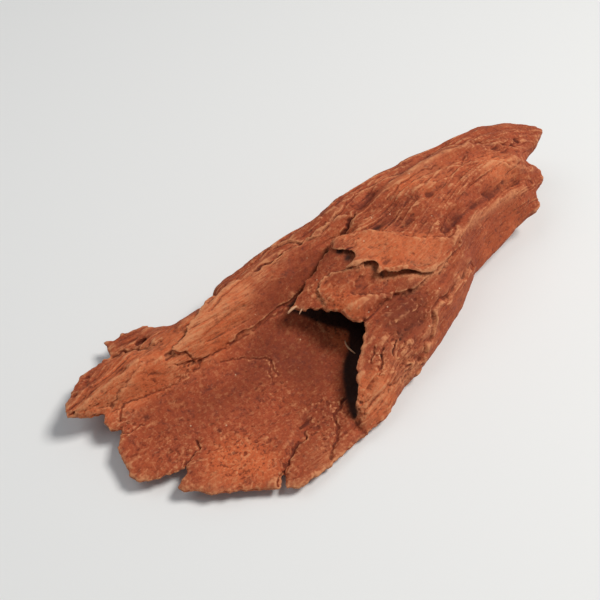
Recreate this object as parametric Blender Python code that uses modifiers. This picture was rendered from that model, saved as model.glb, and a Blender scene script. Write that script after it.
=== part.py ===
# A weathered piece of mangrove root, 31 cm long, lying on its rounded underside.
# The near half is an open scoop with a ridge along its left side, the far half a thick fluted
# butt. A thin hood of wood, with two torn flaps on it, reaches forward from the butt over the
# back of the scoop and down to its right side, and leaves a dark hollow under it.
# Lengths are in millimetres until joined_plates turns them into metres.
# x runs along the grain towards the butt, y towards the left ridge, z up.

import math

import bmesh
import bpy
import numpy as np
from mathutils import Vector, noise
from mathutils.geometry import delaunay_2d_cdt

MM = 0.001
NODE_NAME = "mangrove_root"

MIDDLE = (2.4, -0.9)        # middle of the outline below, which becomes the origin

# Driving sizes
PLATE_EDGE = 3.0            # thickness of the wood where it thins out at its rim
RIM_ROUNDING = 13.0         # distance from the rim over which thick wood rounds off
HOOD_LIP = 2.4              # thickness of the hood at its front edge, under the torn flap
HOOD_ROOT = 9.0             # thickness of the hood at the back of the hollow
HOLLOW_FILLET = 8.0         # distance over which the hollow's roof closes down onto the floor
LAYER_STEP = 2.2            # height of the broken upper layer over the left ridge
FLAP_THICKNESS = 2.4        # thickness of each of the two torn flaps on the hood
ROUGH_LAYER = 1.7           # thickness of the rough layer on the front of the lower flap
FLAP_GAP = 2.0              # how far the upper flap stands off the lower one at its left, where it gapes
FLUTE_HEIGHT = 1.1          # height of the fine flutes along the grain
GRID_STEP = 2.4             # spacing of the points that shape each plate
OUTLINE_STEP = 2.0          # spacing of the points along a torn edge
VOXEL = 0.9                 # grid that fuses the plates into one body
TRIANGLES = 9600            # number of triangles that the fused body keeps

# Outline of the whole piece seen from above, from the tip of the left ridge
# along the torn front and the right side to the butt, and back along the left side.
OUTLINE = [
    (-153, 27), (-146, 22), (-139, 20), (-141, 16), (-140, 12), (-135, 10), (-138, 6), (-142, 3), (-142, -6),
    (-144, -12), (-139, -20), (-129, -22), (-122, -23), (-117, -18), (-123, -26), (-130, -29), (-128, -32),
    (-119, -41), (-101, -51), (-93, -56), (-84, -47), (-91, -58), (-86, -61), (-76, -61), (-59, -59), (-48, -58),
    (-29, -56), (-12, -49), (12, -43), (30, -36), (43, -31), (64, -19), (77, -16), (91, -14), (105, -11),
    (118, -10), (123, -9), (124, -4), (134, 1), (136, 6), (126, 11), (156, 23), (158, 26), (153, 33), (145, 43),
    (135, 50), (111, 56), (94, 56), (72, 56), (44, 58), (20, 56), (-2, 53), (-14, 56), (-32, 54), (-44, 51),
    (-56, 50), (-63, 45), (-66, 41), (-73, 43), (-87, 46), (-92, 50), (-97, 57), (-103, 57), (-108, 60),
    (-113, 58), (-118, 60), (-119, 50), (-127, 48), (-137, 47), (-145, 39), (-151, 32),
]

# Lines that run along the grain, from the left side to the right: each is a list of (x, y, z).
FLOOR_LINES = [
    [(-153, 40, 16), (-120, 60, 12), (-90, 59, 12), (-60, 56, 14), (-25, 60, 18), (20, 60, 20), (70, 62, 22),
     (110, 62, 24), (158, 50, 26)],
    [(-153, 36, 17), (-120, 47, 15), (-90, 43, 21), (-70, 40, 29), (-58, 44, 29), (-25, 47, 32), (0, 47, 36),
     (20, 50, 36), (70, 54, 34), (158, 44, 33)],
    [(-153, 27, 20), (-136, 28, 23), (-116, 30, 26), (-98, 31, 28), (-74, 32, 32), (-54, 35, 33), (-38, 36, 35),
     (-20, 36, 38), (0, 37, 43), (20, 39, 47), (60, 39, 44), (158, 35, 34)],
    [(-153, 25, 19), (-136, 24, 22), (-116, 22, 24), (-98, 22, 27), (-74, 26, 31), (-54, 30, 33), (-38, 31, 34),
     (-20, 31, 37), (0, 31, 41), (20, 31, 45), (60, 30, 42), (158, 30, 34)],
    [(-153, 24, 17), (-146, 21, 17), (-129, 18, 16), (-117, 15, 15), (-103, 13, 16), (-86, 16, 18), (-72, 18, 20),
     (-55, 18, 22), (-38, 18, 25), (-20, 19, 29), (0, 18, 32), (60, 18, 30), (158, 20, 33)],
    [(-153, 8, 13), (-127, 5, 12), (-103, 2, 11), (-68, 4, 12), (-38, 2, 14), (-20, 2, 15), (0, 2, 17), (40, 4, 22), (158, 10, 29)],
    [(-153, -12, 11), (-127, -14, 10), (-103, -16, 9), (-68, -16, 8), (-30, -16, 8), (0, -16, 10), (40, -12, 16),
     (158, 0, 22)],
    [(-153, -42, 10), (-120, -42, 9.5), (-100, -38, 8.5), (-68, -38, 7.5), (-40, -36, 8), (-10, -32, 9),
     (40, -22, 14), (90, -8, 18), (158, -6, 20)],
    [(-153, -63, 9), (-120, -63, 9), (-90, -62, 8.5), (-70, -62, 7), (-48, -60, 7), (-29, -58, 7), (-12, -51, 7),
     (12, -45, 8), (43, -33, 10), (77, -18, 14), (118, -12, 17), (158, -12, 18)],
]

UNDERSIDE_LINES = [
    [(-153, 40, 14), (-120, 60, 9), (-90, 59, 9), (-70, 54, 14), (-58, 54, 19), (-40, 56, 17), (0, 60, 12),
     (70, 62, 15), (110, 58, 20), (158, 50, 25)],
    [(-153, 27, 15), (-120, 28, 10), (-60, 28, 5), (0, 30, 2), (70, 34, 4), (110, 34, 12), (158, 32, 28)],
    [(-153, 0, 9), (-120, -4, 6), (-90, -6, 3), (-40, 0, -0.6), (0, 4, -1.6), (40, 10, -1.6), (80, 14, 0),
     (120, 18, 10), (158, 20, 28)],
    [(-153, -42, 6), (-120, -42, 5.5), (-95, -36, 4), (-60, -40, 2.5), (-20, -34, 1), (20, -24, 1),
     (70, -6, 2), (110, 0, 8), (158, 2, 20)],
    [(-153, -63, 5), (-90, -62, 4.5), (-48, -60, 3), (-12, -51, 3), (43, -33, 5), (77, -18, 8), (118, -12, 12),
     (158, -12, 16)],
]

HOOD_LINES = [
    [(-50, 60, 14), (-25, 60, 14), (20, 60, 18), (70, 62, 22), (110, 62, 24), (158, 50, 28)],
    [(-50, 30, 26), (-20, 33, 34), (-3, 34, 41), (20, 40, 45), (50, 42, 48), (80, 42, 47), (110, 41, 45),
     (140, 37, 40), (158, 28, 36)],
    [(-50, 12, 28), (-20, 13, 34), (0, 15, 43), (20, 17, 48), (50, 20, 53), (80, 22, 53), (110, 23, 50),
     (135, 23, 44), (158, 24, 36)],
    [(-50, 0, 27), (-36, 0, 29), (-22, -8, 32), (0, -6, 39), (20, -4, 46), (50, 2, 52), (80, 6, 51), (110, 9, 46),
     (135, 10, 38), (158, 14, 32)],
    [(-50, -12, 26), (-16, -17, 31), (0, -17, 35), (20, -20, 40), (39, -18, 44), (60, -8, 46), (90, 0, 42),
     (120, 3, 35), (158, 4, 26)],
    [(-50, -49, 13), (-36, -41, 22), (-19, -30, 29), (0, -30, 32), (15, -30, 33), (40, -24, 38), (65, -13, 39),
     (90, -6, 36), (120, -3, 31), (158, -2, 22)],
    [(-50, -55, 9), (-36, -51, 17), (-20, -47, 23), (0, -43, 23), (15, -38, 24), (27, -34, 26), (45, -28, 29),
     (65, -17, 30), (87, -10, 30), (110, -8, 27), (123, -7, 24), (158, -6, 20)],
    [(-50, -60, 7), (-29, -59, 7), (-12, -52, 8), (12, -46, 9), (43, -34, 11), (77, -19, 14), (118, -13, 18),
     (158, -12, 19)],
]

# Parts of the piece seen from above.
LAYER_OUTLINE = [
    (-99, 22), (-94, 19.5), (-89, 17), (-85, 15), (-78, 16), (-62, 17), (-47, 17), (-38, 17), (-30, 17),
    (-15, 18), (10, 20), (16, 28), (10, 33), (-10, 32), (-20, 34), (-33, 34), (-46, 35), (-58, 36),
    (-71, 35), (-78, 31), (-85, 27.5), (-92, 24.5),
]
HOOD_OUTLINE = [
    (-3, 20), (-12, 16), (-20, 12), (-27, 7), (-25, 1), (-20, -6), (-15, -12), (-14, -18), (-18, -23),
    (-26, -30), (-31, -33), (-36, -40), (-43, -48), (-47, -53), (-44, -58), (-29, -56), (-12, -49), (12, -43),
    (30, -36), (43, -31), (64, -19), (77, -16), (91, -14), (105, -11), (118, -10), (123, -9), (124, -4), (134, 1),
    (136, 6), (126, 11), (156, 23), (158, 26), (153, 33), (145, 43), (135, 50), (111, 56), (94, 56), (72, 56),
    (44, 58), (20, 56), (8, 50), (3, 40), (4, 30),
]
HOLLOW_OUTLINE = [
    (-60, 60), (-30, 24), (-12, 22), (10, 12), (28, 0), (24, -14), (10, -25), (-8, -36), (-26, -46), (-40, -51),
    (-60, -60), (-90, 0),
]
LOWER_FLAP_OUTLINE = [
    (-2, 22), (-11, 19), (-20, 16), (-29, 13), (-35, 10), (-40, 8), (-37, 6), (-34, 3), (-29, -1), (-26, -4),
    (-23, -8), (-22, -12), (-21, -15), (-18, -19), (-13, -19), (-8, -18), (-2, -19), (3, -19), (7, -21),
    (12, -23), (19, -23), (26, -22), (32, -21), (40, -17), (34, -6), (24, 4), (12, 14),
]
ROUGH_LAYER_OUTLINE = [
    (0, 1), (-4, 3), (-8, 4), (-11, 6), (-14, 8), (-18, 9), (-22, 8), (-25, 6), (-26, 2), (-26, -2),
    (-25, -6), (-23, -10), (-22, -14), (-18, -18), (-13, -18.5), (-8, -17.5), (-2, -18), (3, -18.5),
    (-2, -16), (-6, -14), (-10, -11), (-13, -8), (-13, -5), (-9, -4), (-5, -2), (-1, -2),
]
UPPER_FLAP_OUTLINE = [
    (-6, 16), (-6, 19), (-4, 22), (-2, 23), (2, 22), (7, 19), (14, 14), (19, 8), (22, 5), (26, -1), (31, -6),
        (39, -10), (44, -13), (48, -16), (41, -19), (33, -21.5), (25, -23.5), (19, -21), (14, -16), (8, -13),
        (4, -10), (1, -9), (0.5, -7.5), (3.5, -5.5), (3, -3), (0, -1), (-4, 0), (-9, 3), (-9, 4), (-5, 4),
        (-2, 5), (-1, 7), (-2, 9), (-4, 12),
]

# Rises and hollows along a line on the top: height at its middle, half width, and its (x, y) points.
BUTT_CREASES = [
    (-3.0, 3.0, [(22, 31), (32, 33), (44, 33), (54, 34), (64, 36), (76, 38), (90, 38)]),
    (2.4, 3.6, [(37, 32), (47, 30), (58, 30), (70, 30), (85, 30), (94, 28)]),
    (-2.2, 2.8, [(96, 33), (103, 28), (107, 21), (112, 17), (120, 19)]),
    (-2.6, 2.6, [(126, 20), (130, 22)]),
    (2.0, 3.0, [(66, 9), (76, 9), (86, 10), (96, 10), (106, 9), (118, 8), (125, 6)]),
    (-2.8, 2.8, [(45, -8), (57, -5), (68, -3), (79, -1.5), (88, 0), (97, 2), (110, 3)]),
    (-1.8, 3.4, [(19, 14), (27, 17), (34, 18), (42, 16)]),
    (1.6, 3.0, [(38, 20), (48, 18), (56, 15)]),
    (-1.6, 3.0, [(52, 12), (62, 11.5), (70, 9)]),
    (-1.4, 4.5, [(29, 10), (36, 5), (42, 0), (48, -4), (56, -6)]),
    (2.6, 2.8, [(44, -16), (54, -13), (66, -10), (77, -7.5), (88, -5.5), (100, -4), (114, -3)]),
    (-1.6, 3.0, [(56, -18), (66, -15), (77, -12), (90, -10), (104, -8)]),
    (0.8, 4.0, [(-20, -27), (-8, -28), (6, -30), (22, -29)]),
    (-1.8, 4.0, [(-8, -36), (8, -35), (24, -29), (44, -23)]),
    (1.8, 3.5, [(-40, -49), (-22, -46), (0, -42), (18, -37), (40, -29)]),
    (2.2, 2.6, [(56, -21), (46, -24), (34, -28.5), (24, -31), (15, -33.5), (12, -38), (6, -42)]),
    (-2.2, 2.4, [(60, -23), (49, -27), (36, -31.5), (26, -34.5), (19, -38.5)]),
    (-2.4, 4.0, [(0, 50), (30, 50), (70, 49), (110, 48)]),
]
UNDERSIDE_CREASES = [
    (2.6, 5.0, [(-122, -28), (-70, -38), (-20, -41), (34, -27)]),
    (2.8, 5.0, [(-118, 26), (-60, 32), (0, 37), (60, 38), (124, 36)]),
    (2.0, 4.0, [(-132, 2), (-96, -2), (-66, -12)]),
    (2.0, 4.5, [(92, 2), (112, 6), (140, 18)]),
    (-1.6, 4.0, [(-130, 38), (-96, 42), (-50, 44)]),
]
LOWER_FLAP_CREASES = [
    (-1.4, 5.0, [(-6, -8), (6, -12), (18, -15), (28, -15)]),
    (1.2, 3.0, [(-22, -12), (-10, -15), (6, -19), (22, -20)]),
]
ROUGH_LAYER_CREASES = [
    (1.1, 1.5, [(0, 0), (-8, 4), (-13, 7), (-18, 9), (-23, 7), (-26, 3)]),
]
UPPER_FLAP_CREASES = [
    (1.4, 2.0, [(-8, 3.5), (-2, 0), (3, -3), (3, -9), (12, -14), (20, -21), (28, -22)]),
    (0.6, 5.0, [(4, 12), (14, 4), (26, -8)]),
    (-0.7, 4.0, [(20, -14), (27, -15), (33, -14)]),
]
FLOOR_CREASES = [
    (2.8, 2.2, [(-152, 24.5), (-144, 25), (-134, 26), (-122, 26), (-114, 27)]),
    (-2.6, 2.6, [(-149, 29), (-142, 30), (-132, 31), (-122, 31)]),
    (-1.8, 3.4, [(-138, 37), (-126, 36), (-113, 33), (-100, 32), (-90, 36)]),
    (-1.8, 3.0, [(-138, 21.5), (-126, 21), (-112, 19)]),
    (-2.2, 3.0, [(-119, 48), (-112, 42), (-105, 36)]),
    (-1.6, 3.0, [(-78, 38), (-60, 40), (-42, 43), (-26, 46)]),
    (-2.4, 2.6, [(-104, 45), (-103, 45)]),
    (-1.6, 3.4, [(-101, 22), (-96, 19), (-90, 15)]),
    (-1.4, 2.4, [(-111, -15), (-116, -20), (-122, -22)]),
    (-1.8, 2.4, [(-64, -37), (-73, -42), (-82, -46), (-88, -50)]),
    (-1.2, 4.0, [(-40, -37), (-50, -41), (-54, -48), (-66, -57)]),
    (-1.0, 2.6, [(-141, 10), (-132, 8), (-124, 8)]),
    (1.0, 8.0, [(-128, -8), (-112, -24), (-96, -38)]),
]


def monotone_slopes(knots, values):
    # Slopes of a curve through the values that never overshoots them.
    gaps = np.diff(knots, axis=0)
    secants = np.diff(values, axis=0) / gaps
    slopes = np.empty_like(values)
    slopes[0], slopes[-1] = secants[0], secants[-1]
    before, after = secants[:-1], secants[1:]
    turning = before * after <= 0
    slopes[1:-1] = np.where(turning, 0, 2 * before * after / np.where(turning, 1, before + after))
    return slopes


def hermite(share, gap, start, end, slope_in, slope_out):
    square, cube = share**2, share**3
    return (
        (2 * cube - 3 * square + 1) * start
        + (cube - 2 * square + share) * gap * slope_in
        + (3 * square - 2 * cube) * end
        + (cube - square) * gap * slope_out
    )


def along(points, x):
    # y and z at each x of a line that runs through the points.
    points = np.array(points, float)
    knots = points[:, 0]
    x = np.clip(x, knots[0], knots[-1])
    left = np.clip(np.searchsorted(knots, x, side="right") - 1, 0, len(knots) - 2)
    gap = knots[left + 1] - knots[left]
    share = (x - knots[left]) / gap
    found = []
    for values in points[:, 1:].T:
        slopes = monotone_slopes(knots, values)
        found.append(hermite(share, gap, values[left], values[left + 1], slopes[left], slopes[left + 1]))
    return found


def surface(lines):
    # A height z(x, y) that passes smoothly through lines running along the grain.
    def height(x, y):
        ys, zs = np.array([along(line, x) for line in lines[::-1]]).transpose(1, 0, 2)
        slopes = monotone_slopes(ys, zs)
        y = np.clip(y, ys[0], ys[-1])
        left = np.clip((ys <= y).sum(axis=0) - 1, 0, len(lines) - 2)
        pick, beyond = (left, np.arange(len(x))), (left + 1, np.arange(len(x)))
        gap = ys[beyond] - ys[pick]
        return hermite((y - ys[pick]) / gap, gap, zs[pick], zs[beyond], slopes[pick], slopes[beyond])

    return height


def smooth_step(value):
    value = np.clip(value, 0, 1)
    return value * value * (3 - 2 * value)


def distance_to(points, x, y):
    nearest = np.full(len(x), np.inf)
    for (ax, ay), (bx, by) in zip(points, points[1:]):
        dx, dy = bx - ax, by - ay
        share = np.clip(((x - ax) * dx + (y - ay) * dy) / (dx * dx + dy * dy), 0, 1)
        nearest = np.minimum(nearest, np.hypot(x - ax - share * dx, y - ay - share * dy))
    return nearest


def inside_distance(outline, x, y):
    # Distance to a closed outline, positive inside it.
    crossings = np.zeros(len(x), bool)
    for (ax, ay), (bx, by) in zip(outline, outline[1:] + outline[:1]):
        if by != ay:
            crossings ^= ((ay > y) != (by > y)) & (x < ax + (y - ay) / (by - ay) * (bx - ax))
    distance = distance_to(outline + outline[:1], x, y)
    return np.where(crossings, distance, -distance)


def creased(creases, x, y):
    return sum(height * np.exp(-((distance_to(points, x, y) / width) ** 2)) for height, width, points in creases)


def flutes(x, y, seed):
    # Irregular ribs along the grain, between -1 and 1.
    ribs = [
        noise.noise(Vector((px / 34, (py + 0.06 * px) / 4.6, seed)))
        + 0.6 * noise.noise(Vector((px / 15, (py + 0.06 * px) / 2.6, seed + 7)))
        for px, py in zip(x, y)
    ]
    return np.array(ribs)


def torn(outline, depth, seed):
    # The outline with a point every few millimetres, pushed in and out at random as torn wood is,
    # and less along the thick butt.
    points = []
    for start, end in zip(outline, outline[1:] + outline[:1]):
        start, end = Vector(start), Vector(end)
        side = (end - start).orthogonal().normalized()
        steps = max(1, round((end - start).length / OUTLINE_STEP))
        for step in range(steps):
            point = start.lerp(end, step / steps)
            push = noise.noise(Vector((point.x * 0.31, point.y * 0.31, seed)))
            calmer = 1 - 0.6 * smooth_step((point.x - 5) / 15)
            points.append(tuple(point + side * push * depth * calmer))
    return points


def plate(outline, top, bottom, tear=1.0, seed=0.0, rim_height=None):
    # A closed plate of wood: the outline seen from above, between a top and a bottom height.
    # With a rim height, thick wood rounds off to a thin rim at that height.
    rim = torn(outline, tear, seed)
    low, high = np.min(rim, axis=0), np.max(rim, axis=0)
    rows = np.arange(low[1], high[1], GRID_STEP * math.sqrt(0.75))
    columns = np.arange(low[0], high[0], GRID_STEP)
    grid = np.array([(x + GRID_STEP / 2 * (row % 2), y) for row, y in enumerate(rows) for x in columns])
    grid = grid[inside_distance(rim, grid[:, 0], grid[:, 1]) > GRID_STEP * 0.55]
    flat = [Vector(p) for p in rim] + [Vector(p) for p in grid]
    ring = [(i, (i + 1) % len(rim)) for i in range(len(rim))]
    points, _, triangles, _, _, _ = delaunay_2d_cdt(flat, ring, [], 1, 1e-4)
    x, y = np.array([tuple(p) for p in points]).T
    tops, bottoms = top(x, y), bottom(x, y)
    if rim_height:
        tops, bottoms = rounded_rim(inside_distance(rim, x, y), tops, bottoms, rim_height(x, y, tops, bottoms))
    mesh = bmesh.new()
    upper = [mesh.verts.new(p) for p in zip(x, y, np.maximum(tops, bottoms + 0.8))]
    lower = [mesh.verts.new(p) for p in zip(x, y, bottoms)]
    for a, b, c in triangles:
        mesh.faces.new((upper[a], upper[b], upper[c]))
        mesh.faces.new((lower[c], lower[b], lower[a]))
    twin = dict(zip(upper, lower))
    for edge in [e for e in mesh.edges if e.is_boundary and e.verts[0] in twin]:
        a, b = edge.verts
        mesh.faces.new((b, a, twin[a], twin[b]))
    bmesh.ops.recalc_face_normals(mesh, faces=mesh.faces)
    return mesh


def rim_share(x):
    # How high the rim sits between underside and top: low along the sides, high at the far end.
    return 0.35 + 0.45 * smooth_step((x - 70) / 55)


def rounded_rim(depth, tops, bottoms, middle):
    thickness = np.maximum(tops - bottoms, 0.1)
    reach = np.minimum(RIM_ROUNDING, 0.7 * thickness + 2)
    swell = np.sqrt(1 - (1 - np.clip(depth / reach, 0, 1)) ** 2)
    rim = np.minimum(PLATE_EDGE / thickness, 1)
    full = rim + (1 - rim) * swell
    return middle + (tops - middle) * full, middle - (middle - bottoms) * full


def joined_plates(plates):
    # All plates in one mesh, moved to the origin and turned into metres.
    data = bpy.data.meshes.new(NODE_NAME)
    joined = bmesh.new()
    for piece in plates:
        piece.to_mesh(data)
        piece.free()
        joined.from_mesh(data)
    bmesh.ops.translate(joined, vec=(-MIDDLE[0], -MIDDLE[1], 0), verts=joined.verts)
    bmesh.ops.scale(joined, vec=(MM, MM, MM), verts=joined.verts)
    joined.to_mesh(data)
    joined.free()
    return data


def root_wood():
    material = bpy.data.materials.new("weathered root wood")
    material.use_nodes = True
    shader = material.node_tree.nodes["Principled BSDF"]
    shader.inputs["Base Color"].default_value = (0.33, 0.09, 0.04, 1)
    shader.inputs["Roughness"].default_value = 0.85
    return material


def main():
    for obj in list(bpy.data.objects):
        bpy.data.objects.remove(obj)
    floor, belly, hood = surface(FLOOR_LINES), surface(UNDERSIDE_LINES), surface(HOOD_LINES)

    def outer_rim(x, y, tops, bottoms):
        covered = smooth_step((x - np.interp(y, (-40, 40), (-40, 10))) / 16)
        upper = floor(x, y) + (hood(x, y) - floor(x, y)) * covered
        return belly(x, y) + (upper - belly(x, y)) * rim_share(x)

    def hood_rim(x, y, tops, bottoms):
        lip = bottoms + (tops - bottoms) * rim_share(x)
        inward = smooth_step((inside_distance(OUTLINE, x, y) - 2) / 8)
        return outer_rim(x, y, tops, bottoms) * (1 - inward) + lip * inward

    def underside(x, y):
        return belly(x, y) + creased(UNDERSIDE_CREASES, x, y) + 0.9 * FLUTE_HEIGHT * flutes(x, y, 8.0)

    def floor_top(x, y):
        ribs = FLUTE_HEIGHT * flutes(x, y, 1.0) * (0.3 + 0.9 * smooth_step((y - 12) / 12))
        return floor(x, y) + creased(FLOOR_CREASES, x, y) + ribs

    def layer_top(x, y):
        return floor(x, y) + LAYER_STEP * smooth_step((y - 14) / 9) + 0.4 * flutes(x, y, 2.0)

    def layer_under(x, y):
        return floor(x, y) - 3

    def hood_top(x, y):
        bare = 1 - smooth_step(inside_distance(UPPER_FLAP_OUTLINE, x, y) / 3)
        return hood(x, y) + bare * (creased(BUTT_CREASES, x, y) + FLUTE_HEIGHT * flutes(x, y, 3.0))

    def lower_lift(x):
        return FLAP_THICKNESS * (1 - 0.75 * smooth_step((x - 12) / 14))

    def upper_lift(x):
        return lower_lift(x) + FLAP_GAP * (1 - 0.7 * smooth_step((x + 2) / 12))

    def hood_under(x, y):
        depth = inside_distance(HOLLOW_OUTLINE, x, y)
        from_lip = inside_distance(HOOD_OUTLINE, x, y)
        thickness = HOOD_LIP + (HOOD_ROOT - HOOD_LIP) * smooth_step(from_lip / 30)
        roof = hood(x, y) - thickness
        closed = belly(x, y) + 2.5
        return closed + (roof - closed) * smooth_step(depth / HOLLOW_FILLET)

    def lower_flap_under(x, y):
        return hood(x, y) - 0.5

    def lower_flap_top(x, y):
        relief = creased(LOWER_FLAP_CREASES, x, y) + 0.5 * flutes(x, y, 4.0)
        return hood(x, y) + lower_lift(x) + relief

    def rough_layer_under(x, y):
        return hood(x, y) + 0.3

    def rough_layer_top(x, y):
        return lower_flap_top(x, y) + ROUGH_LAYER + creased(ROUGH_LAYER_CREASES, x, y)

    def upper_flap_under(x, y):
        stand = upper_lift(x)
        attached = smooth_step((x + y - 8) / 12)
        return hood(x, y) + stand - (stand + 2.0) * attached + creased(UPPER_FLAP_CREASES[:1], x, y)

    def upper_flap_top(x, y):
        sunk = (3.6 - 1.4 * smooth_step((x - 5) / 15)) * smooth_step((x + y + 12) / 36)
        lift = upper_lift(x) + FLAP_THICKNESS - sunk
        return hood(x, y) + lift + creased(UPPER_FLAP_CREASES, x, y) + 0.3 * flutes(x, y, 5.0)

    data = joined_plates([
        plate(OUTLINE, floor_top, underside, seed=1.0, rim_height=outer_rim),
        plate(LAYER_OUTLINE, layer_top, layer_under, seed=6.0),
        plate(HOOD_OUTLINE, hood_top, hood_under, seed=2.0, rim_height=hood_rim),
        plate(LOWER_FLAP_OUTLINE, lower_flap_top, lower_flap_under, tear=1.2, seed=3.0),
        plate(ROUGH_LAYER_OUTLINE, rough_layer_top, rough_layer_under, tear=1.2, seed=7.0),
        plate(UPPER_FLAP_OUTLINE, upper_flap_top, upper_flap_under, tear=0.8, seed=4.0),
    ])
    data.materials.append(root_wood())
    root = bpy.data.collections.new("mangrove root piece")
    bpy.context.scene.collection.children.link(root)
    wood = bpy.data.objects.new(NODE_NAME, data)
    root.objects.link(wood)
    remesh = wood.modifiers.new("Fuse", "REMESH")
    remesh.mode = "VOXEL"
    remesh.voxel_size = VOXEL * MM
    bpy.context.view_layer.update()
    evaluated = wood.evaluated_get(bpy.context.evaluated_depsgraph_get())
    fused_triangles = 2 * len(evaluated.data.polygons)
    thin = wood.modifiers.new("Thin out", "DECIMATE")
    thin.ratio = TRIANGLES / fused_triangles
    bpy.ops.mesh.primitive_cube_add(size=1, location=(0, 0, -0.5))
    ground = bpy.context.object
    ground.name = "ground_cutter"
    seat = wood.modifiers.new("Worn flat", "BOOLEAN")
    seat.operation = "DIFFERENCE"
    seat.solver = "EXACT"
    seat.object = ground
    cutters = bpy.data.collections.new("cutters")
    bpy.context.scene.collection.children.link(cutters)
    for collection in list(ground.users_collection):
        collection.objects.unlink(ground)
    cutters.objects.link(ground)
    ground.hide_render = True
    ground.display_type = "WIRE"


main()
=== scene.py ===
import math

import bmesh
import bpy
import numpy as np
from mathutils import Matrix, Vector, bvhtree, noise
from mathutils.geometry import delaunay_2d_cdt


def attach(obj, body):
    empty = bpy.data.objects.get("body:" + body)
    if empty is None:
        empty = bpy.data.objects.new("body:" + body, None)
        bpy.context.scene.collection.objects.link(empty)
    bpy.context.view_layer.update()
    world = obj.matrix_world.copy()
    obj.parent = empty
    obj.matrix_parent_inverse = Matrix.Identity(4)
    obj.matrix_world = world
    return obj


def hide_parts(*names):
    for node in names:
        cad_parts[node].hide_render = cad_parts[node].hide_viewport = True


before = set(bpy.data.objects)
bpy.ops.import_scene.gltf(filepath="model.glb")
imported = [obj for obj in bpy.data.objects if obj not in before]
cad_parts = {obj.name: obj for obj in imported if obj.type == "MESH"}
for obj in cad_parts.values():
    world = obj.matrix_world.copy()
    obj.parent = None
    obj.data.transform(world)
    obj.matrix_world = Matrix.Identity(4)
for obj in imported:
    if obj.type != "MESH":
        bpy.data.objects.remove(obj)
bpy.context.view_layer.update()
mm = 0.001
middle = (2.4, -0.9)  # middle of the root's outline, which is the origin of the part

wholeRoot = {
    "gridStep": 1.5,  # spacing of the points that shape each plate
    "edgeStep": 0.6,  # spacing of the points along a torn edge
    "voxel": 0.52,  # grid that fuses the plates into one body
    "triangles": 196000,
}

# Outlines are seen from above. This one runs round the butt, from its right side to its left.
buttRim = [
    (-29, -56), (-12, -49), (12, -43), (30, -36), (43, -31), (64, -19), (77, -16), (91, -14), (105, -11),
    (118, -10), (123, -9), (124, -4), (134, 1), (136, 6), (126, 11), (156, 23), (158, 26), (153, 33),
    (145, 43), (135, 50), (111, 56), (94, 56), (72, 56), (44, 58), (20, 56),
]

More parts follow.
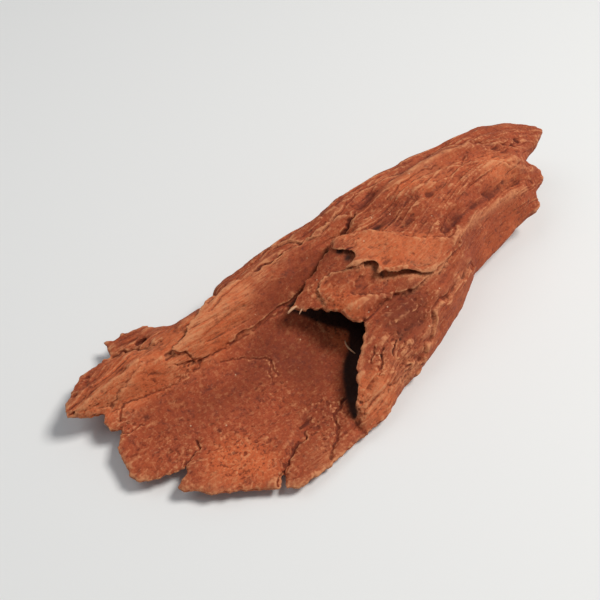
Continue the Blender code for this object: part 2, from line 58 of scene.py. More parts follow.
# Lines along the grain are (x, y, z), from the left side to the right.
scoop = {
    "outline": [
        (-153, 27), (-146, 22), (-139, 20), (-141, 16), (-140, 12), (-135, 10), (-138, 6), (-142, 3),
        (-142, -6), (-144, -12), (-139, -20), (-129, -22), (-122, -23), (-117, -18), (-123, -26),
        (-130, -29), (-128, -32), (-119, -41), (-101, -51), (-93, -56), (-84, -47), (-91, -58), (-86, -61),
        (-76, -61), (-59, -59), (-48, -58), *buttRim, (-2, 53), (-14, 56), (-32, 54), (-44, 51), (-56, 50),
        (-63, 45), (-66, 41), (-73, 43), (-87, 46), (-92, 50), (-97, 57), (-103, 57), (-108, 60),
        (-113, 58), (-118, 60), (-119, 50), (-127, 48), (-137, 47), (-145, 39), (-151, 32),
    ],
    "floorLines": [
        [(-153, 40, 16), (-120, 60, 12), (-90, 59, 12), (-60, 56, 14), (-25, 60, 18), (20, 60, 20),
         (70, 62, 22), (110, 62, 24), (158, 50, 26)],
        [(-153, 36, 17), (-120, 47, 15), (-90, 43, 21), (-70, 40, 29), (-58, 44, 29), (-25, 47, 32),
         (0, 47, 36), (20, 50, 36), (70, 54, 34), (158, 44, 33)],
        [(-153, 27, 20), (-136, 28, 23), (-116, 30, 26), (-98, 31, 28), (-74, 32, 32), (-54, 35, 33),
         (-38, 36, 35), (-20, 36, 38), (0, 37, 43), (20, 39, 47), (60, 39, 44), (158, 35, 34)],
        [(-153, 25, 19), (-136, 24, 22), (-116, 22, 24), (-98, 22, 27), (-74, 26, 31), (-54, 30, 33),
         (-38, 31, 34), (-20, 31, 37), (0, 31, 41), (20, 31, 45), (60, 30, 42), (158, 30, 34)],
        [(-153, 24, 17), (-146, 21, 17), (-129, 18, 16), (-117, 15, 15), (-103, 13, 16), (-86, 16, 18),
         (-72, 18, 20), (-55, 18, 22), (-38, 18, 25), (-20, 19, 29), (0, 18, 32), (60, 18, 30),
         (158, 20, 33)],
        [(-153, 8, 13), (-127, 5, 12), (-103, 2, 11), (-68, 4, 12), (-38, 2, 14), (-20, 2, 15), (0, 2, 17),
         (40, 4, 22), (158, 10, 29)],
        [(-153, -12, 11), (-127, -14, 10), (-103, -16, 9), (-68, -16, 8), (-30, -16, 8), (0, -16, 10),
         (40, -12, 16), (158, 0, 22)],
        [(-153, -42, 10), (-120, -42, 9.5), (-100, -38, 8.5), (-68, -38, 7.5), (-40, -36, 8), (-10, -32, 9),
         (40, -22, 14), (90, -8, 18), (158, -6, 20)],
        [(-153, -63, 9), (-120, -63, 9), (-90, -62, 8.5), (-70, -62, 7), (-48, -60, 7), (-29, -58, 7),
         (-12, -51, 7), (12, -45, 8), (43, -33, 10), (77, -18, 14), (118, -12, 17), (158, -12, 18)],
    ],
    "creases": [  # height at its middle, half width, points
        (2.8, 2.2, [(-152, 24.5), (-144, 25), (-134, 26), (-122, 26), (-114, 27)]),
        (-2.6, 2.6, [(-149, 29), (-142, 30), (-132, 31), (-122, 31)]),
        (-1.8, 3.4, [(-138, 37), (-126, 36), (-113, 33), (-100, 32), (-90, 36)]),
        (-1.8, 3.0, [(-138, 21.5), (-126, 21), (-112, 19)]),
        (-2.2, 3.0, [(-119, 48), (-112, 42), (-105, 36)]),
        (-1.6, 3.0, [(-78, 38), (-60, 40), (-42, 43), (-26, 46)]),
        (-2.4, 2.6, [(-104, 45), (-103, 45)]),
        (-1.6, 3.4, [(-101, 22), (-96, 19), (-90, 15)]),
        (-1.4, 2.4, [(-111, -15), (-116, -20), (-122, -22)]),
        (-1.8, 2.4, [(-64, -37), (-73, -42), (-82, -46), (-88, -50)]),
        (-1.2, 4.0, [(-40, -37), (-50, -41), (-54, -48), (-66, -57)]),
        (-1.0, 2.6, [(-141, 10), (-132, 8), (-124, 8)]),
        (1.0, 8.0, [(-128, -8), (-112, -24), (-96, -38)]),
    ],
    "rimThickness": 2.0,
    "rimRounding": 13.0,  # how far from the rim thick wood rounds off
    "torn": (1.0, 0.7, 1.0),  # depth of its bites, depth of its fraying, seed
    "ribs": (1.1, 1.0),  # height, seed
}

belly = {
    "lines": [
        [(-153, 40, 14), (-120, 60, 9), (-90, 59, 9), (-70, 54, 14), (-58, 54, 19), (-40, 56, 17),
         (0, 60, 12), (70, 62, 15), (110, 58, 20), (158, 50, 25)],
        [(-153, 27, 15), (-120, 28, 10), (-60, 28, 5), (0, 30, 2), (70, 34, 4), (110, 34, 12),
         (158, 32, 28)],
        [(-153, 0, 9), (-120, -4, 6), (-90, -6, 3), (-40, 0, -0.6), (0, 4, -1.6), (40, 10, -1.6),
         (80, 14, 0), (120, 18, 10), (158, 20, 28)],
        [(-153, -42, 6), (-120, -42, 5.5), (-95, -36, 4), (-60, -40, 2.5), (-20, -34, 1), (20, -24, 1),
         (70, -6, 2), (110, 0, 8), (158, 2, 20)],
        [(-153, -63, 5), (-90, -62, 4.5), (-48, -60, 3), (-12, -51, 3), (43, -33, 5), (77, -18, 8),
         (118, -12, 12), (158, -12, 16)],
    ],
    "creases": [
        (2.6, 5.0, [(-122, -28), (-70, -38), (-20, -41), (34, -27)]),
        (2.8, 5.0, [(-118, 26), (-60, 32), (0, 37), (60, 38), (124, 36)]),
        (2.0, 4.0, [(-132, 2), (-96, -2), (-66, -12)]),
        (2.0, 4.5, [(92, 2), (112, 6), (140, 18)]),
        (-1.6, 4.0, [(-130, 38), (-96, 42), (-50, 44)]),
    ],
    "ribs": (0.99, 8.0),
}

ridgeLayer = {
    "outline": [
        (-99, 22), (-94, 19.5), (-89, 17), (-85, 15), (-78, 16), (-62, 17), (-47, 17), (-38, 17), (-30, 17),
        (-15, 18), (10, 20), (16, 28), (10, 33), (-10, 32), (-20, 34), (-33, 34), (-46, 35), (-58, 36),
        (-71, 35), (-78, 31), (-85, 27.5), (-92, 24.5),
    ],
    "step": 2.2,  # height of the broken upper layer over the ridge
    "torn": (1.4, 0.9, 6.0),
    "ribs": (0.4, 2.0),
}

hood = {
    "outline": [
        (-3, 20), (-12, 16), (-20, 12), (-27, 7), (-25, 1), (-20, -6), (-15, -12), (-14, -18), (-18, -23),
        (-26, -30), (-31, -33), (-36, -40), (-43, -48), (-47, -53), (-44, -58), *buttRim, (8, 50), (3, 40),
        (4, 30),
    ],
    "lines": [
        [(-50, 60, 14), (-25, 60, 14), (20, 60, 18), (70, 62, 22), (110, 62, 24), (158, 50, 28)],
        [(-50, 30, 26), (-20, 33, 34), (-3, 34, 41), (20, 40, 45), (50, 42, 48), (80, 42, 47),
         (110, 41, 45), (140, 37, 40), (158, 28, 36)],
        [(-50, 12, 28), (-20, 13, 34), (0, 15, 43), (20, 17, 48), (50, 20, 53), (80, 22, 53), (110, 23, 50),
         (135, 23, 44), (158, 24, 36)],
        [(-50, 0, 27), (-36, 0, 29), (-22, -8, 32), (0, -6, 39), (20, -4, 46), (50, 2, 52), (80, 6, 51),
         (110, 9, 46), (135, 10, 38), (158, 14, 32)],
        [(-50, -12, 26), (-16, -17, 31), (0, -17, 35), (20, -20, 40), (39, -18, 44), (60, -8, 46),
         (90, 0, 42), (120, 3, 35), (158, 4, 26)],
        [(-50, -49, 13), (-36, -41, 22), (-19, -30, 29), (0, -30, 32), (15, -30, 33), (40, -24, 38),
         (65, -13, 39), (90, -6, 36), (120, -3, 31), (158, -2, 22)],
        [(-50, -55, 9), (-36, -51, 17), (-20, -47, 23), (0, -43, 23), (15, -38, 24), (27, -34, 26),
         (45, -28, 29), (65, -17, 30), (87, -10, 30), (110, -8, 27), (123, -7, 24), (158, -6, 20)],
        [(-50, -60, 7), (-29, -59, 7), (-12, -52, 8), (12, -46, 9), (43, -34, 11), (77, -19, 14),
         (118, -13, 18), (158, -12, 19)],
    ],
    "hollowOutline": [
        (-60, 60), (-30, 24), (-12, 22), (10, 12), (28, 0), (24, -14), (10, -25), (-8, -36), (-26, -46),
        (-40, -51), (-60, -60), (-90, 0),
    ],
    "creases": [
        (-3.0, 3.0, [(22, 31), (32, 33), (44, 33), (54, 34), (64, 36), (76, 38), (90, 38)]),
        (2.4, 3.6, [(37, 32), (47, 30), (58, 30), (70, 30), (85, 30), (94, 28)]),
        (-2.2, 2.8, [(96, 33), (103, 28), (107, 21), (112, 17), (120, 19)]),
        (-2.6, 2.6, [(126, 20), (130, 22)]),
        (2.0, 3.0, [(66, 9), (76, 9), (86, 10), (96, 10), (106, 9), (118, 8), (125, 6)]),
        (-2.8, 2.8, [(45, -8), (57, -5), (68, -3), (79, -1.5), (88, 0), (97, 2), (110, 3)]),
        (-1.8, 3.4, [(19, 14), (27, 17), (34, 18), (42, 16)]),
        (1.6, 3.0, [(38, 20), (48, 18), (56, 15)]),
        (-1.6, 3.0, [(52, 12), (62, 11.5), (70, 9)]),
        (-1.4, 4.5, [(29, 10), (36, 5), (42, 0), (48, -4), (56, -6)]),
        (2.6, 2.8, [(44, -16), (54, -13), (66, -10), (77, -7.5), (88, -5.5), (100, -4), (114, -3)]),
        (-1.6, 3.0, [(56, -18), (66, -15), (77, -12), (90, -10), (104, -8)]),
        (0.8, 4.0, [(-20, -27), (-8, -28), (6, -30), (22, -29)]),
        (-1.8, 4.0, [(-8, -36), (8, -35), (24, -29), (44, -23)]),
        (1.8, 3.5, [(-40, -49), (-22, -46), (0, -42), (18, -37), (40, -29)]),
        (2.2, 2.6, [(56, -21), (46, -24), (34, -28.5), (24, -31), (15, -33.5), (12, -38), (6, -42)]),
        (-2.2, 2.4, [(60, -23), (49, -27), (36, -31.5), (26, -34.5), (19, -38.5)]),
        (-2.4, 4.0, [(0, 50), (30, 50), (70, 49), (110, 48)]),
    ],
    "lip": 2.4,  # thickness at the front edge
    "root": 9.0,  # thickness at the back of the hollow
    "hollowFillet": 8.0,
    "torn": (1.0, 0.6, 2.0),
    "ribs": (1.1, 3.0),
}

lowerFlap = {
    "outline": [
        (-2, 22), (-11, 19), (-20, 16), (-29, 13), (-35, 10), (-40, 8), (-37, 6), (-34, 3), (-29, -1),
        (-26, -4), (-23, -8), (-22, -12), (-21, -15), (-18, -19), (-13, -19), (-8, -18), (-2, -19),
        (3, -19), (7, -21), (12, -23), (19, -23), (26, -22), (32, -21), (40, -17), (34, -6), (24, 4),
        (12, 14),
    ],
    "creases": [
        (-1.4, 5.0, [(-6, -8), (6, -12), (18, -15), (28, -15)]),
        (1.2, 3.0, [(-22, -12), (-10, -15), (6, -19), (22, -20)]),
    ],
    "thickness": 2.4,
    "thinEdge": 5,  # how far from its edge it is thinner
    "torn": (1.2, 1.2, 3.0),
    "ribs": (0.5, 4.0),
}

roughLayer = {
    "outline": [
        (0, 1), (-4, 3), (-8, 4), (-11, 6), (-14, 8), (-18, 9), (-22, 8), (-25, 6), (-26, 2), (-26, -2),
        (-25, -6), (-23, -10), (-22, -14), (-18, -18), (-13, -18.5), (-8, -17.5), (-2, -18), (3, -18.5),
        (-2, -16), (-6, -14), (-10, -11), (-13, -8), (-13, -5), (-9, -4), (-5, -2), (-1, -2),
    ],
    "rolledEdge": (1.1, 1.5, [(0, 0), (-8, 4), (-13, 7), (-18, 9), (-23, 7), (-26, 3)]),
    "thickness": 1.7,  # above the lower flap
    "thinEdge": 3,
    "torn": (1.2, 1.4, 7.0),
    "ribs": (0.9, 9.0),
}

upperFlap = {
    "outline": [
        (-6, 16), (-6, 19), (-4, 22), (-2, 23), (2, 22), (7, 19), (14, 14), (19, 8), (22, 5), (26, -1),
        (31, -6), (39, -10), (44, -13), (48, -16), (41, -19), (33, -21.5), (25, -23.5), (19, -21),
        (14, -16), (8, -13), (4, -10), (1, -9), (0.5, -7.5), (3.5, -5.5), (3, -3), (0, -1), (-4, 0),
        (-9, 3), (-9, 4), (-5, 4), (-2, 5), (-1, 7), (-2, 9), (-4, 12),
    ],
    "creases": [
        (1.4, 2.0, [(-8, 3.5), (-2, 0), (3, -3), (3, -9), (12, -14), (20, -21), (28, -22)]),
        (0.6, 5.0, [(4, 12), (14, 4), (26, -8)]),
        (-0.7, 4.0, [(20, -14), (27, -15), (33, -14)]),
    ],
    "thickness": 2.2,
    "gap": 2.0,  # how far it stands off the lower flap at its left, where it gapes
    "thinEdge": 1.2,
    "torn": (0.8, 0.7, 4.0),
    "ribs": (0.3, 5.0),
}

def slopesAt(knots, values):
    # Slopes of a curve through the values that never overshoots them
    gaps = np.diff(knots, axis=0)
    secants = np.diff(values, axis=0) / gaps
    slopes = np.empty_like(values)
    slopes[0], slopes[-1] = secants[0], secants[-1]
    before, after = secants[:-1], secants[1:]
    turning = before * after <= 0
    slopes[1:-1] = np.where(turning, 0, 2 * before * after / np.where(turning, 1, before + after))
    return slopes


def curveBetween(share, gap, start, end, slopeIn, slopeOut):
    square, cube = share**2, share**3
    return (
        (2 * cube - 3 * square + 1) * start
        + (cube - 2 * square + share) * gap * slopeIn
        + (3 * square - 2 * cube) * end
        + (cube - square) * gap * slopeOut
    )


def alongLine(points, x):
    # y and z at each x of a line through the points
    points = np.array(points, float)
    knots = points[:, 0]
    x = np.clip(x, knots[0], knots[-1])
    left = np.clip(np.searchsorted(knots, x, side="right") - 1, 0, len(knots) - 2)
    gap = knots[left + 1] - knots[left]
    share = (x - knots[left]) / gap
    found = []
    for values in points[:, 1:].T:
        slopes = slopesAt(knots, values)
        ends = values[left], values[left + 1], slopes[left], slopes[left + 1]
        found.append(curveBetween(share, gap, *ends))
    return found


def heightOver(lines):
    # A height z(x, y) that passes smoothly through lines along the grain
    def height(x, y):
        ys, zs = np.array([alongLine(line, x) for line in lines[::-1]]).transpose(1, 0, 2)
        slopes = slopesAt(ys, zs)
        y = np.clip(y, ys[0], ys[-1])
        left = np.clip((ys <= y).sum(axis=0) - 1, 0, len(lines) - 2)
        pick, beyond = (left, np.arange(len(x))), (left + 1, np.arange(len(x)))
        gap = ys[beyond] - ys[pick]
        return curveBetween((y - ys[pick]) / gap, gap, zs[pick], zs[beyond], slopes[pick], slopes[beyond])

    return height


def smoothStep(value):
    value = np.clip(value, 0, 1)
    return value * value * (3 - 2 * value)


def besideLine(points, x, y):
    # Distance to a line, above zero on its left side and below zero on its right
    nearest, signed = np.full(len(x), np.inf), np.zeros(len(x))
    for (ax, ay), (bx, by) in zip(points, points[1:]):
        dx, dy = bx - ax, by - ay
        share = np.clip(((x - ax) * dx + (y - ay) * dy) / (dx * dx + dy * dy), 0, 1)
        gap = np.hypot(x - ax - share * dx, y - ay - share * dy)
        side = np.where(dx * (y - ay) > dy * (x - ax), 1, -1)
        signed = np.where(gap < nearest, side * gap, signed)
        nearest = np.minimum(nearest, gap)
    return signed


def distanceTo(points, x, y):
    return np.abs(besideLine(points, x, y))


def insideDistance(outline, x, y):
    # Distance to a closed outline, positive inside it
    crossings = np.zeros(len(x), bool)
    for (ax, ay), (bx, by) in zip(outline, outline[1:] + outline[:1]):
        if by != ay:
            crossings ^= ((ay > y) != (by > y)) & (x < ax + (y - ay) / (by - ay) * (bx - ax))
    distance = distanceTo(outline + outline[:1], x, y)
    return np.where(crossings, distance, -distance)


def creased(creases, x, y):
    return sum(
        height * np.exp(-((distanceTo(points, x, y) / width) ** 2)) for height, width, points in creases
    )


def roughness(points, sizes, seed):
    # Noise between about -0.7 and 0.7 whose lumps have the given sizes along x, y and z
    scaled = (points / np.array(sizes) + seed).tolist()
    return np.array([noise.noise(p) for p in scaled])


# Irregular ribs along the grain.
fluting = {
    "slant": 0.06,  # sideways drift of a rib over its length
    "wide": (34, 4.6),  # length and width of the ribs
    "narrow": (15, 2.6),
    "narrowShare": 0.6,
}


def flutes(x, y, seed):
    places = list(zip(x, y + fluting["slant"] * x))

    def waves(length, width, layer):
        return np.array([noise.noise((px / length, py / width, layer)) for px, py in places])

    return waves(*fluting["wide"], seed) + fluting["narrowShare"] * waves(*fluting["narrow"], seed + 7)


def ribs(part, x, y):
    height, seed = part["ribs"]
    return height * flutes(x, y, seed)


def worked(part, x, y):
    return creased(part["creases"], x, y) + ribs(part, x, y)


def thinning(part, x, y):
    # Share of its thickness that a flap keeps, less towards its edge
    return 0.5 + 0.5 * smoothStep(insideDistance(part["outline"], x, y) / part["thinEdge"])


# Bites out of a torn edge, in three sizes: how many in a millimetre, and what is added to the seed.
bites = {
    "wide": (0.23, 0),
    "small": (0.45, 3),
    "fine": (0.9, 6),
    "fineShare": 0.4,
    "buttCalm": 0.65,  # how much less torn the butt is
}


def tornEdge(outline, depth, frayed, seed):
    # The outline with points close together, pushed in and out at random as torn wood is
    sizes = (
        (depth, *bites["wide"]),
        (frayed, *bites["small"]),
        (bites["fineShare"] * frayed, *bites["fine"]),
    )
    points = []
    for start, end in zip(outline, outline[1:] + outline[:1]):
        start, end = Vector(start), Vector(end)
        side = (end - start).orthogonal().normalized()
        steps = max(1, round((end - start).length / wholeRoot["edgeStep"]))
        for step in range(steps):
            point = start.lerp(end, step / steps)
            push = sum(size * noise.noise((point.x * n, point.y * n, seed + k)) for size, n, k in sizes)
            calmer = 1 - bites["buttCalm"] * smoothStep((point.x - 5) / 15)
            points.append(tuple(point + side * push * calmer))
    return points


def rimShare(x):
    # How high the rim sits between underside and top: low along the sides, high at the far end
    return 0.35 + 0.45 * smoothStep((x - 70) / 55)


def roundedRim(depth, tops, bottoms, centre):
    thickness = np.maximum(tops - bottoms, 0.1)
    reach = np.minimum(scoop["rimRounding"], 0.7 * thickness + 2)
    swell = np.sqrt(1 - (1 - np.clip(depth / reach, 0, 1)) ** 2)
    rim = np.minimum(scoop["rimThickness"] / thickness, 1)
    full = rim + (1 - rim) * swell
    return centre + (tops - centre) * full, centre - (centre - bottoms) * full


def plate(part, top, bottom, rimHeight=None):
    # A closed plate of wood: the part's outline between a top and a bottom height.
    # With a rim height, thick wood rounds off to a thin rim at that height.
    rim = tornEdge(part["outline"], *part["torn"])
    step = wholeRoot["gridStep"]
    low, high = np.min(rim, axis=0), np.max(rim, axis=0)
    rows = np.arange(low[1], high[1], step * math.sqrt(0.75))
    columns = np.arange(low[0], high[0], step)
    grid = np.array([(x + step / 2 * (row % 2), y) for row, y in enumerate(rows) for x in columns])
    grid = grid[insideDistance(rim, grid[:, 0], grid[:, 1]) > step * 0.5]
    flat = [Vector(p) for p in rim] + [Vector(p) for p in grid]
    ring = [(i, (i + 1) % len(rim)) for i in range(len(rim))]
    points, _, triangles, _, _, _ = delaunay_2d_cdt(flat, ring, [], 1, 1e-4)
    x, y = np.array([tuple(p) for p in points]).T
    tops, bottoms = top(x, y), bottom(x, y)
    if rimHeight:
        tops, bottoms = roundedRim(insideDistance(rim, x, y), tops, bottoms, rimHeight(x, y, tops, bottoms))
    mesh = bmesh.new()
    upper = [mesh.verts.new(p) for p in zip(x, y, np.maximum(tops, bottoms + 0.8))]
    lower = [mesh.verts.new(p) for p in zip(x, y, bottoms)]
    for a, b, c in triangles:
        mesh.faces.new((upper[a], upper[b], upper[c]))
        mesh.faces.new((lower[c], lower[b], lower[a]))
    twin = dict(zip(upper, lower))
    for edge in [e for e in mesh.edges if e.is_boundary and e.verts[0] in twin]:
        a, b = edge.verts
        mesh.faces.new((b, a, twin[a], twin[b]))
    bmesh.ops.recalc_face_normals(mesh, faces=mesh.faces)
    return mesh


floorHeight = heightOver(scoop["floorLines"])
bellyHeight = heightOver(belly["lines"])
hoodHeight = heightOver(hood["lines"])


def shapePlates():
    def outerRim(x, y, tops, bottoms):
        covered = smoothStep((x - np.interp(y, (-40, 40), (-40, 10))) / 16)
        upper = floorHeight(x, y) + (hoodHeight(x, y) - floorHeight(x, y)) * covered
        return bellyHeight(x, y) + (upper - bellyHeight(x, y)) * rimShare(x)

    def hoodRim(x, y, tops, bottoms):
        lip = bottoms + (tops - bottoms) * rimShare(x)
        inward = smoothStep((insideDistance(scoop["outline"], x, y) - 2) / 8)
        return outerRim(x, y, tops, bottoms) * (1 - inward) + lip * inward

    def underside(x, y):
        return bellyHeight(x, y) + worked(belly, x, y)

    def floorTop(x, y):
        ribbed = ribs(scoop, x, y) * (0.3 + 0.9 * smoothStep((y - 12) / 12))  # lower on the floor
        return floorHeight(x, y) + creased(scoop["creases"], x, y) + ribbed

    def layerTop(x, y):
        return floorHeight(x, y) + ridgeLayer["step"] * smoothStep((y - 14) / 9) + ribs(ridgeLayer, x, y)

    def layerUnder(x, y):
        return floorHeight(x, y) - 3

    def hoodTop(x, y):
        bare = 1 - smoothStep(insideDistance(upperFlap["outline"], x, y) / 3)
        return hoodHeight(x, y) + bare * worked(hood, x, y)

    def lowerLift(x):
        return lowerFlap["thickness"] * (1 - 0.75 * smoothStep((x - 12) / 14))

    def upperLift(x):
        return lowerLift(x) + upperFlap["gap"] * (1 - 0.7 * smoothStep((x + 2) / 12))

    def hoodUnder(x, y):
        depth = insideDistance(hood["hollowOutline"], x, y)
        fromLip = insideDistance(hood["outline"], x, y)
        roof = hoodHeight(x, y) - hood["lip"] - (hood["root"] - hood["lip"]) * smoothStep(fromLip / 30)
        closed = bellyHeight(x, y) + 2.5
        return closed + (roof - closed) * smoothStep(depth / hood["hollowFillet"])

    def lowerFlapUnder(x, y):
        return hoodHeight(x, y) - 0.5

    def lowerFlapTop(x, y):
        return hoodHeight(x, y) + lowerLift(x) * thinning(lowerFlap, x, y) + worked(lowerFlap, x, y)

    def roughLayerUnder(x, y):
        return hoodHeight(x, y) + 0.3

    def roughLayerTop(x, y):
        rough = creased([roughLayer["rolledEdge"]], x, y) + ribs(roughLayer, x, 2 * y)
        return lowerFlapTop(x, y) + roughLayer["thickness"] * thinning(roughLayer, x, y) + rough

    def upperFlapUnder(x, y):
        stand = upperLift(x)
        attached = smoothStep((x + y - 8) / 12)
        return hoodHeight(x, y) + stand - (stand + 2.0) * attached + creased(upperFlap["creases"][:1], x, y)

    def upperFlapTop(x, y):
        sunk = (3.6 - 1.4 * smoothStep((x - 5) / 15)) * smoothStep((x + y + 12) / 36)
        thick = upperFlap["thickness"] * thinning(upperFlap, x, y)
        return hoodHeight(x, y) + upperLift(x) - sunk + thick + worked(upperFlap, x, y)

    return [
        plate(scoop, floorTop, underside, outerRim),
        plate(ridgeLayer, layerTop, layerUnder),
        plate(hood, hoodTop, hoodUnder, hoodRim),
        plate(lowerFlap, lowerFlapTop, lowerFlapUnder),
        plate(roughLayer, roughLayerTop, roughLayerUnder),
        plate(upperFlap, upperFlapTop, upperFlapUnder),
    ]


def changedBy(obj, kind, **settings):
    # The object's mesh after one modifier, which is applied
    modifier = obj.modifiers.new(kind.title(), kind)
    for name, value in settings.items():
        setattr(modifier, name, value)
    evaluated = obj.evaluated_get(bpy.context.evaluated_depsgraph_get())
    old, obj.data = obj.data, bpy.data.meshes.new_from_object(evaluated)
    obj.modifiers.clear()
    bpy.data.meshes.remove(old)
    return obj


def valuesOf(items, name, size, kind=np.float32):
    flat = np.empty(len(items) * size, kind)
    items.foreach_get(name, flat)
    return flat.reshape(-1, size)


def pointsOf(mesh):
    return valuesOf(mesh.vertices, "co", 3).astype(float)


def normalsOf(mesh):
    return valuesOf(mesh.vertex_normals, "vector", 3).astype(float)


def setPoints(mesh, points):
    mesh.vertices.foreach_set("co", points.astype(np.float32).ravel())
    mesh.update()


def fusedBody(plates):
    data = bpy.data.meshes.new("mangroveRootWood")
    joined = bmesh.new()
    for piece in plates:
        piece.to_mesh(data)
        piece.free()
        joined.from_mesh(data)
    joined.to_mesh(data)
    joined.free()
    wood = bpy.data.objects.new("mangroveRootWood", data)
    bpy.context.scene.collection.objects.link(wood)
    return changedBy(wood, "REMESH", mode="VOXEL", voxel_size=wholeRoot["voxel"])


def edgesOf(mesh):
    return valuesOf(mesh.edges, "vertices", 2, np.int32).T


def keepLargest(wood):
    # Leaves out crumbs that the torn edges may leave hanging apart
    mesh = wood.data
    a, b = edgesOf(mesh)
    label = np.arange(len(mesh.vertices))
    while True:
        lowest = np.minimum(label[a], label[b])
        before = label.copy()
        np.minimum.at(label, a, lowest)
        np.minimum.at(label, b, lowest)
        label = label[label]
        if (label == before).all():
            break
    names, counts = np.unique(label, return_counts=True)
    if len(names) > 1:
        body = bmesh.new()
        body.from_mesh(mesh)
        body.verts.ensure_lookup_table()
        crumbs = [body.verts[i] for i in np.nonzero(label != names[counts.argmax()])[0]]
        bmesh.ops.delete(body, geom=crumbs, context="VERTS")
        body.to_mesh(mesh)
        body.free()
    print("crumbs left out:", len(names) - 1)


def smoothed(mesh, points, rounds):
    # The points, moved towards the mean of their neighbours in each round
    a, b = edgesOf(mesh)
    count = np.maximum(np.bincount(a, minlength=len(points)) + np.bincount(b, minlength=len(points)), 1)
    for _ in range(rounds):
        sums = [np.bincount(a, p[b], len(p)) + np.bincount(b, p[a], len(p)) for p in points.T]
        points = 0.4 * points + 0.6 * np.stack(sums, axis=1) / count[:, None]
    return points


thickSides = {
    "leftFrom": -100,  # x where each side becomes thick
    "rightFrom": -30,
    "width": 17,  # how far in from the rim it is smoothed
    "rounds": 16,
}


def evenSides(wood):
    # Takes the plates' facets off the thick rounded sides
    mesh = wood.data
    points = pointsOf(mesh)
    x, y, _ = points.T
    start = np.where(y > 0, thickSides["leftFrom"], thickSides["rightFrom"])
    share = smoothStep((x - start) / 15)
    share *= smoothStep((thickSides["width"] - insideDistance(scoop["outline"], x, y)) / 5)
    setPoints(mesh, points + (smoothed(mesh, points, thickSides["rounds"]) - points) * share[:, None])


grainFan = {
    "halfWidth": 60,  # across the grain, from the middle to each side
    "wander": 2.4,  # how far the fibres wander sideways
}


def acrossGrain(points):
    # Place across the grain, which fans out with the piece's two sides
    x, y, _ = points.T
    left, right = alongLine(scoop["floorLines"][0], x)[0], alongLine(scoop["floorLines"][-1], x)[0]
    return grainFan["halfWidth"] * (2 * (y - right) / (left - right) - 1)


def grainPlace(points):
    wander = grainFan["wander"] * roughness(points, *lumps["grainWander"])
    return np.stack([points[:, 0], acrossGrain(points) + wander, points[:, 2]], axis=1)


def regions(points, normals):
    # How much each point belongs to the floor, the ridge, the hood, the flaps and the belly
    x, y, z = points.T
    hoodZ = hoodHeight(x, y)
    onFlap = np.zeros(len(x))
    for flap in (lowerFlap, upperFlap):
        onFlap = np.maximum(onFlap, smoothStep(insideDistance(flap["outline"], x, y) + 1))
    onFlap *= smoothStep(z - hoodZ - 0.4)
    inHood = smoothStep((insideDistance(hood["outline"], x, y) + 2) / 3)
    onHood = inHood * smoothStep((z - hoodZ + 7) / 3) * (1 - onFlap)
    under = smoothStep((0.15 - normals[:, 2]) / 0.5) * (1 - onFlap) * (1 - onHood)
    rest = np.clip(1 - onFlap - onHood - under, 0, 1)
    ridge = rest * smoothStep((y - 14) / 6)
    return {"flaps": onFlap, "hood": onHood, "belly": under, "ridge": ridge, "floor": rest - ridge}


# Height of each kind of fine relief on each part of the wood.
relief = {
    "kinds": ("swells", "dents", "ribs", "fibres", "grit", "layers", "furrows", "pits"),
    "floor": (0.6, 0.2, 0.1, 0.05, 0.15, 0.15, 0.0, 0.1),
    "ridge": (0.5, 0.4, 0.2, 0.14, 0.06, 0.5, 0.55, 0.1),
    "hood": (0.8, 0.8, 0.14, 0.05, 0.09, 0.55, 0.45, 0.12),
    "flaps": (0.5, 0.15, 0.1, 0.05, 0.08, 0.1, 0.0, 0.05),
    "belly": (0.6, 0.4, 0.4, 0.04, 0.0, 0.3, 0.6, 0.0),
    "keptWhereCalm": ("swells", "grit", "pits"),
    "crumbled": {"grit": 0.25, "pits": 0.6},  # more of these where the wood has crumbled
    "layeredSides": 0.25,  # thin layers seen on steep and broken faces
    "jitter": 0.9,  # how far cracks wander sideways
    "drift": 1.1,  # how far ledges wander sideways
}

# Lumps of each kind of noise: length, width and height, and a seed.
lumps = {
    "swells": ((11, 8, 8), 3.1),
    "dents": ((17, 5.2, 5.2), 15.3),
    "ribs": ((30, 2.7, 2.7), 5.7),
    "fibres": ((13, 0.95, 0.95), 8.9),
    "grit": ((1.5, 1.3, 1.3), 2.3),
    "sheets": ((75, 10, 10), 21.7),
    "furrows": ((55, 8, 8), 31.1),
    "furrowed": ((38, 24, 24), 13.9),
    "pits": ((2.8, 1.9, 1.9), 81.7),
    "wormLines": ((3.6, 2.9, 2.9), 71.3),
    "wormPlaces": ((7, 6, 6), 91.1),
    "sideLayers": ((15, 15, 0.8), 41.3),
    "jitterX": ((2.6, 2.6, 2.6), 51.7),
    "jitterY": ((2.6, 2.6, 2.6), 61.9),
    "driftX": ((6, 6, 6), 55.3),
    "driftY": ((6, 6, 6), 65.7),
    "uneven": ((8, 8, 8), 17.9),
    "grainWander": ((70, 40, 40), 11.3),
}

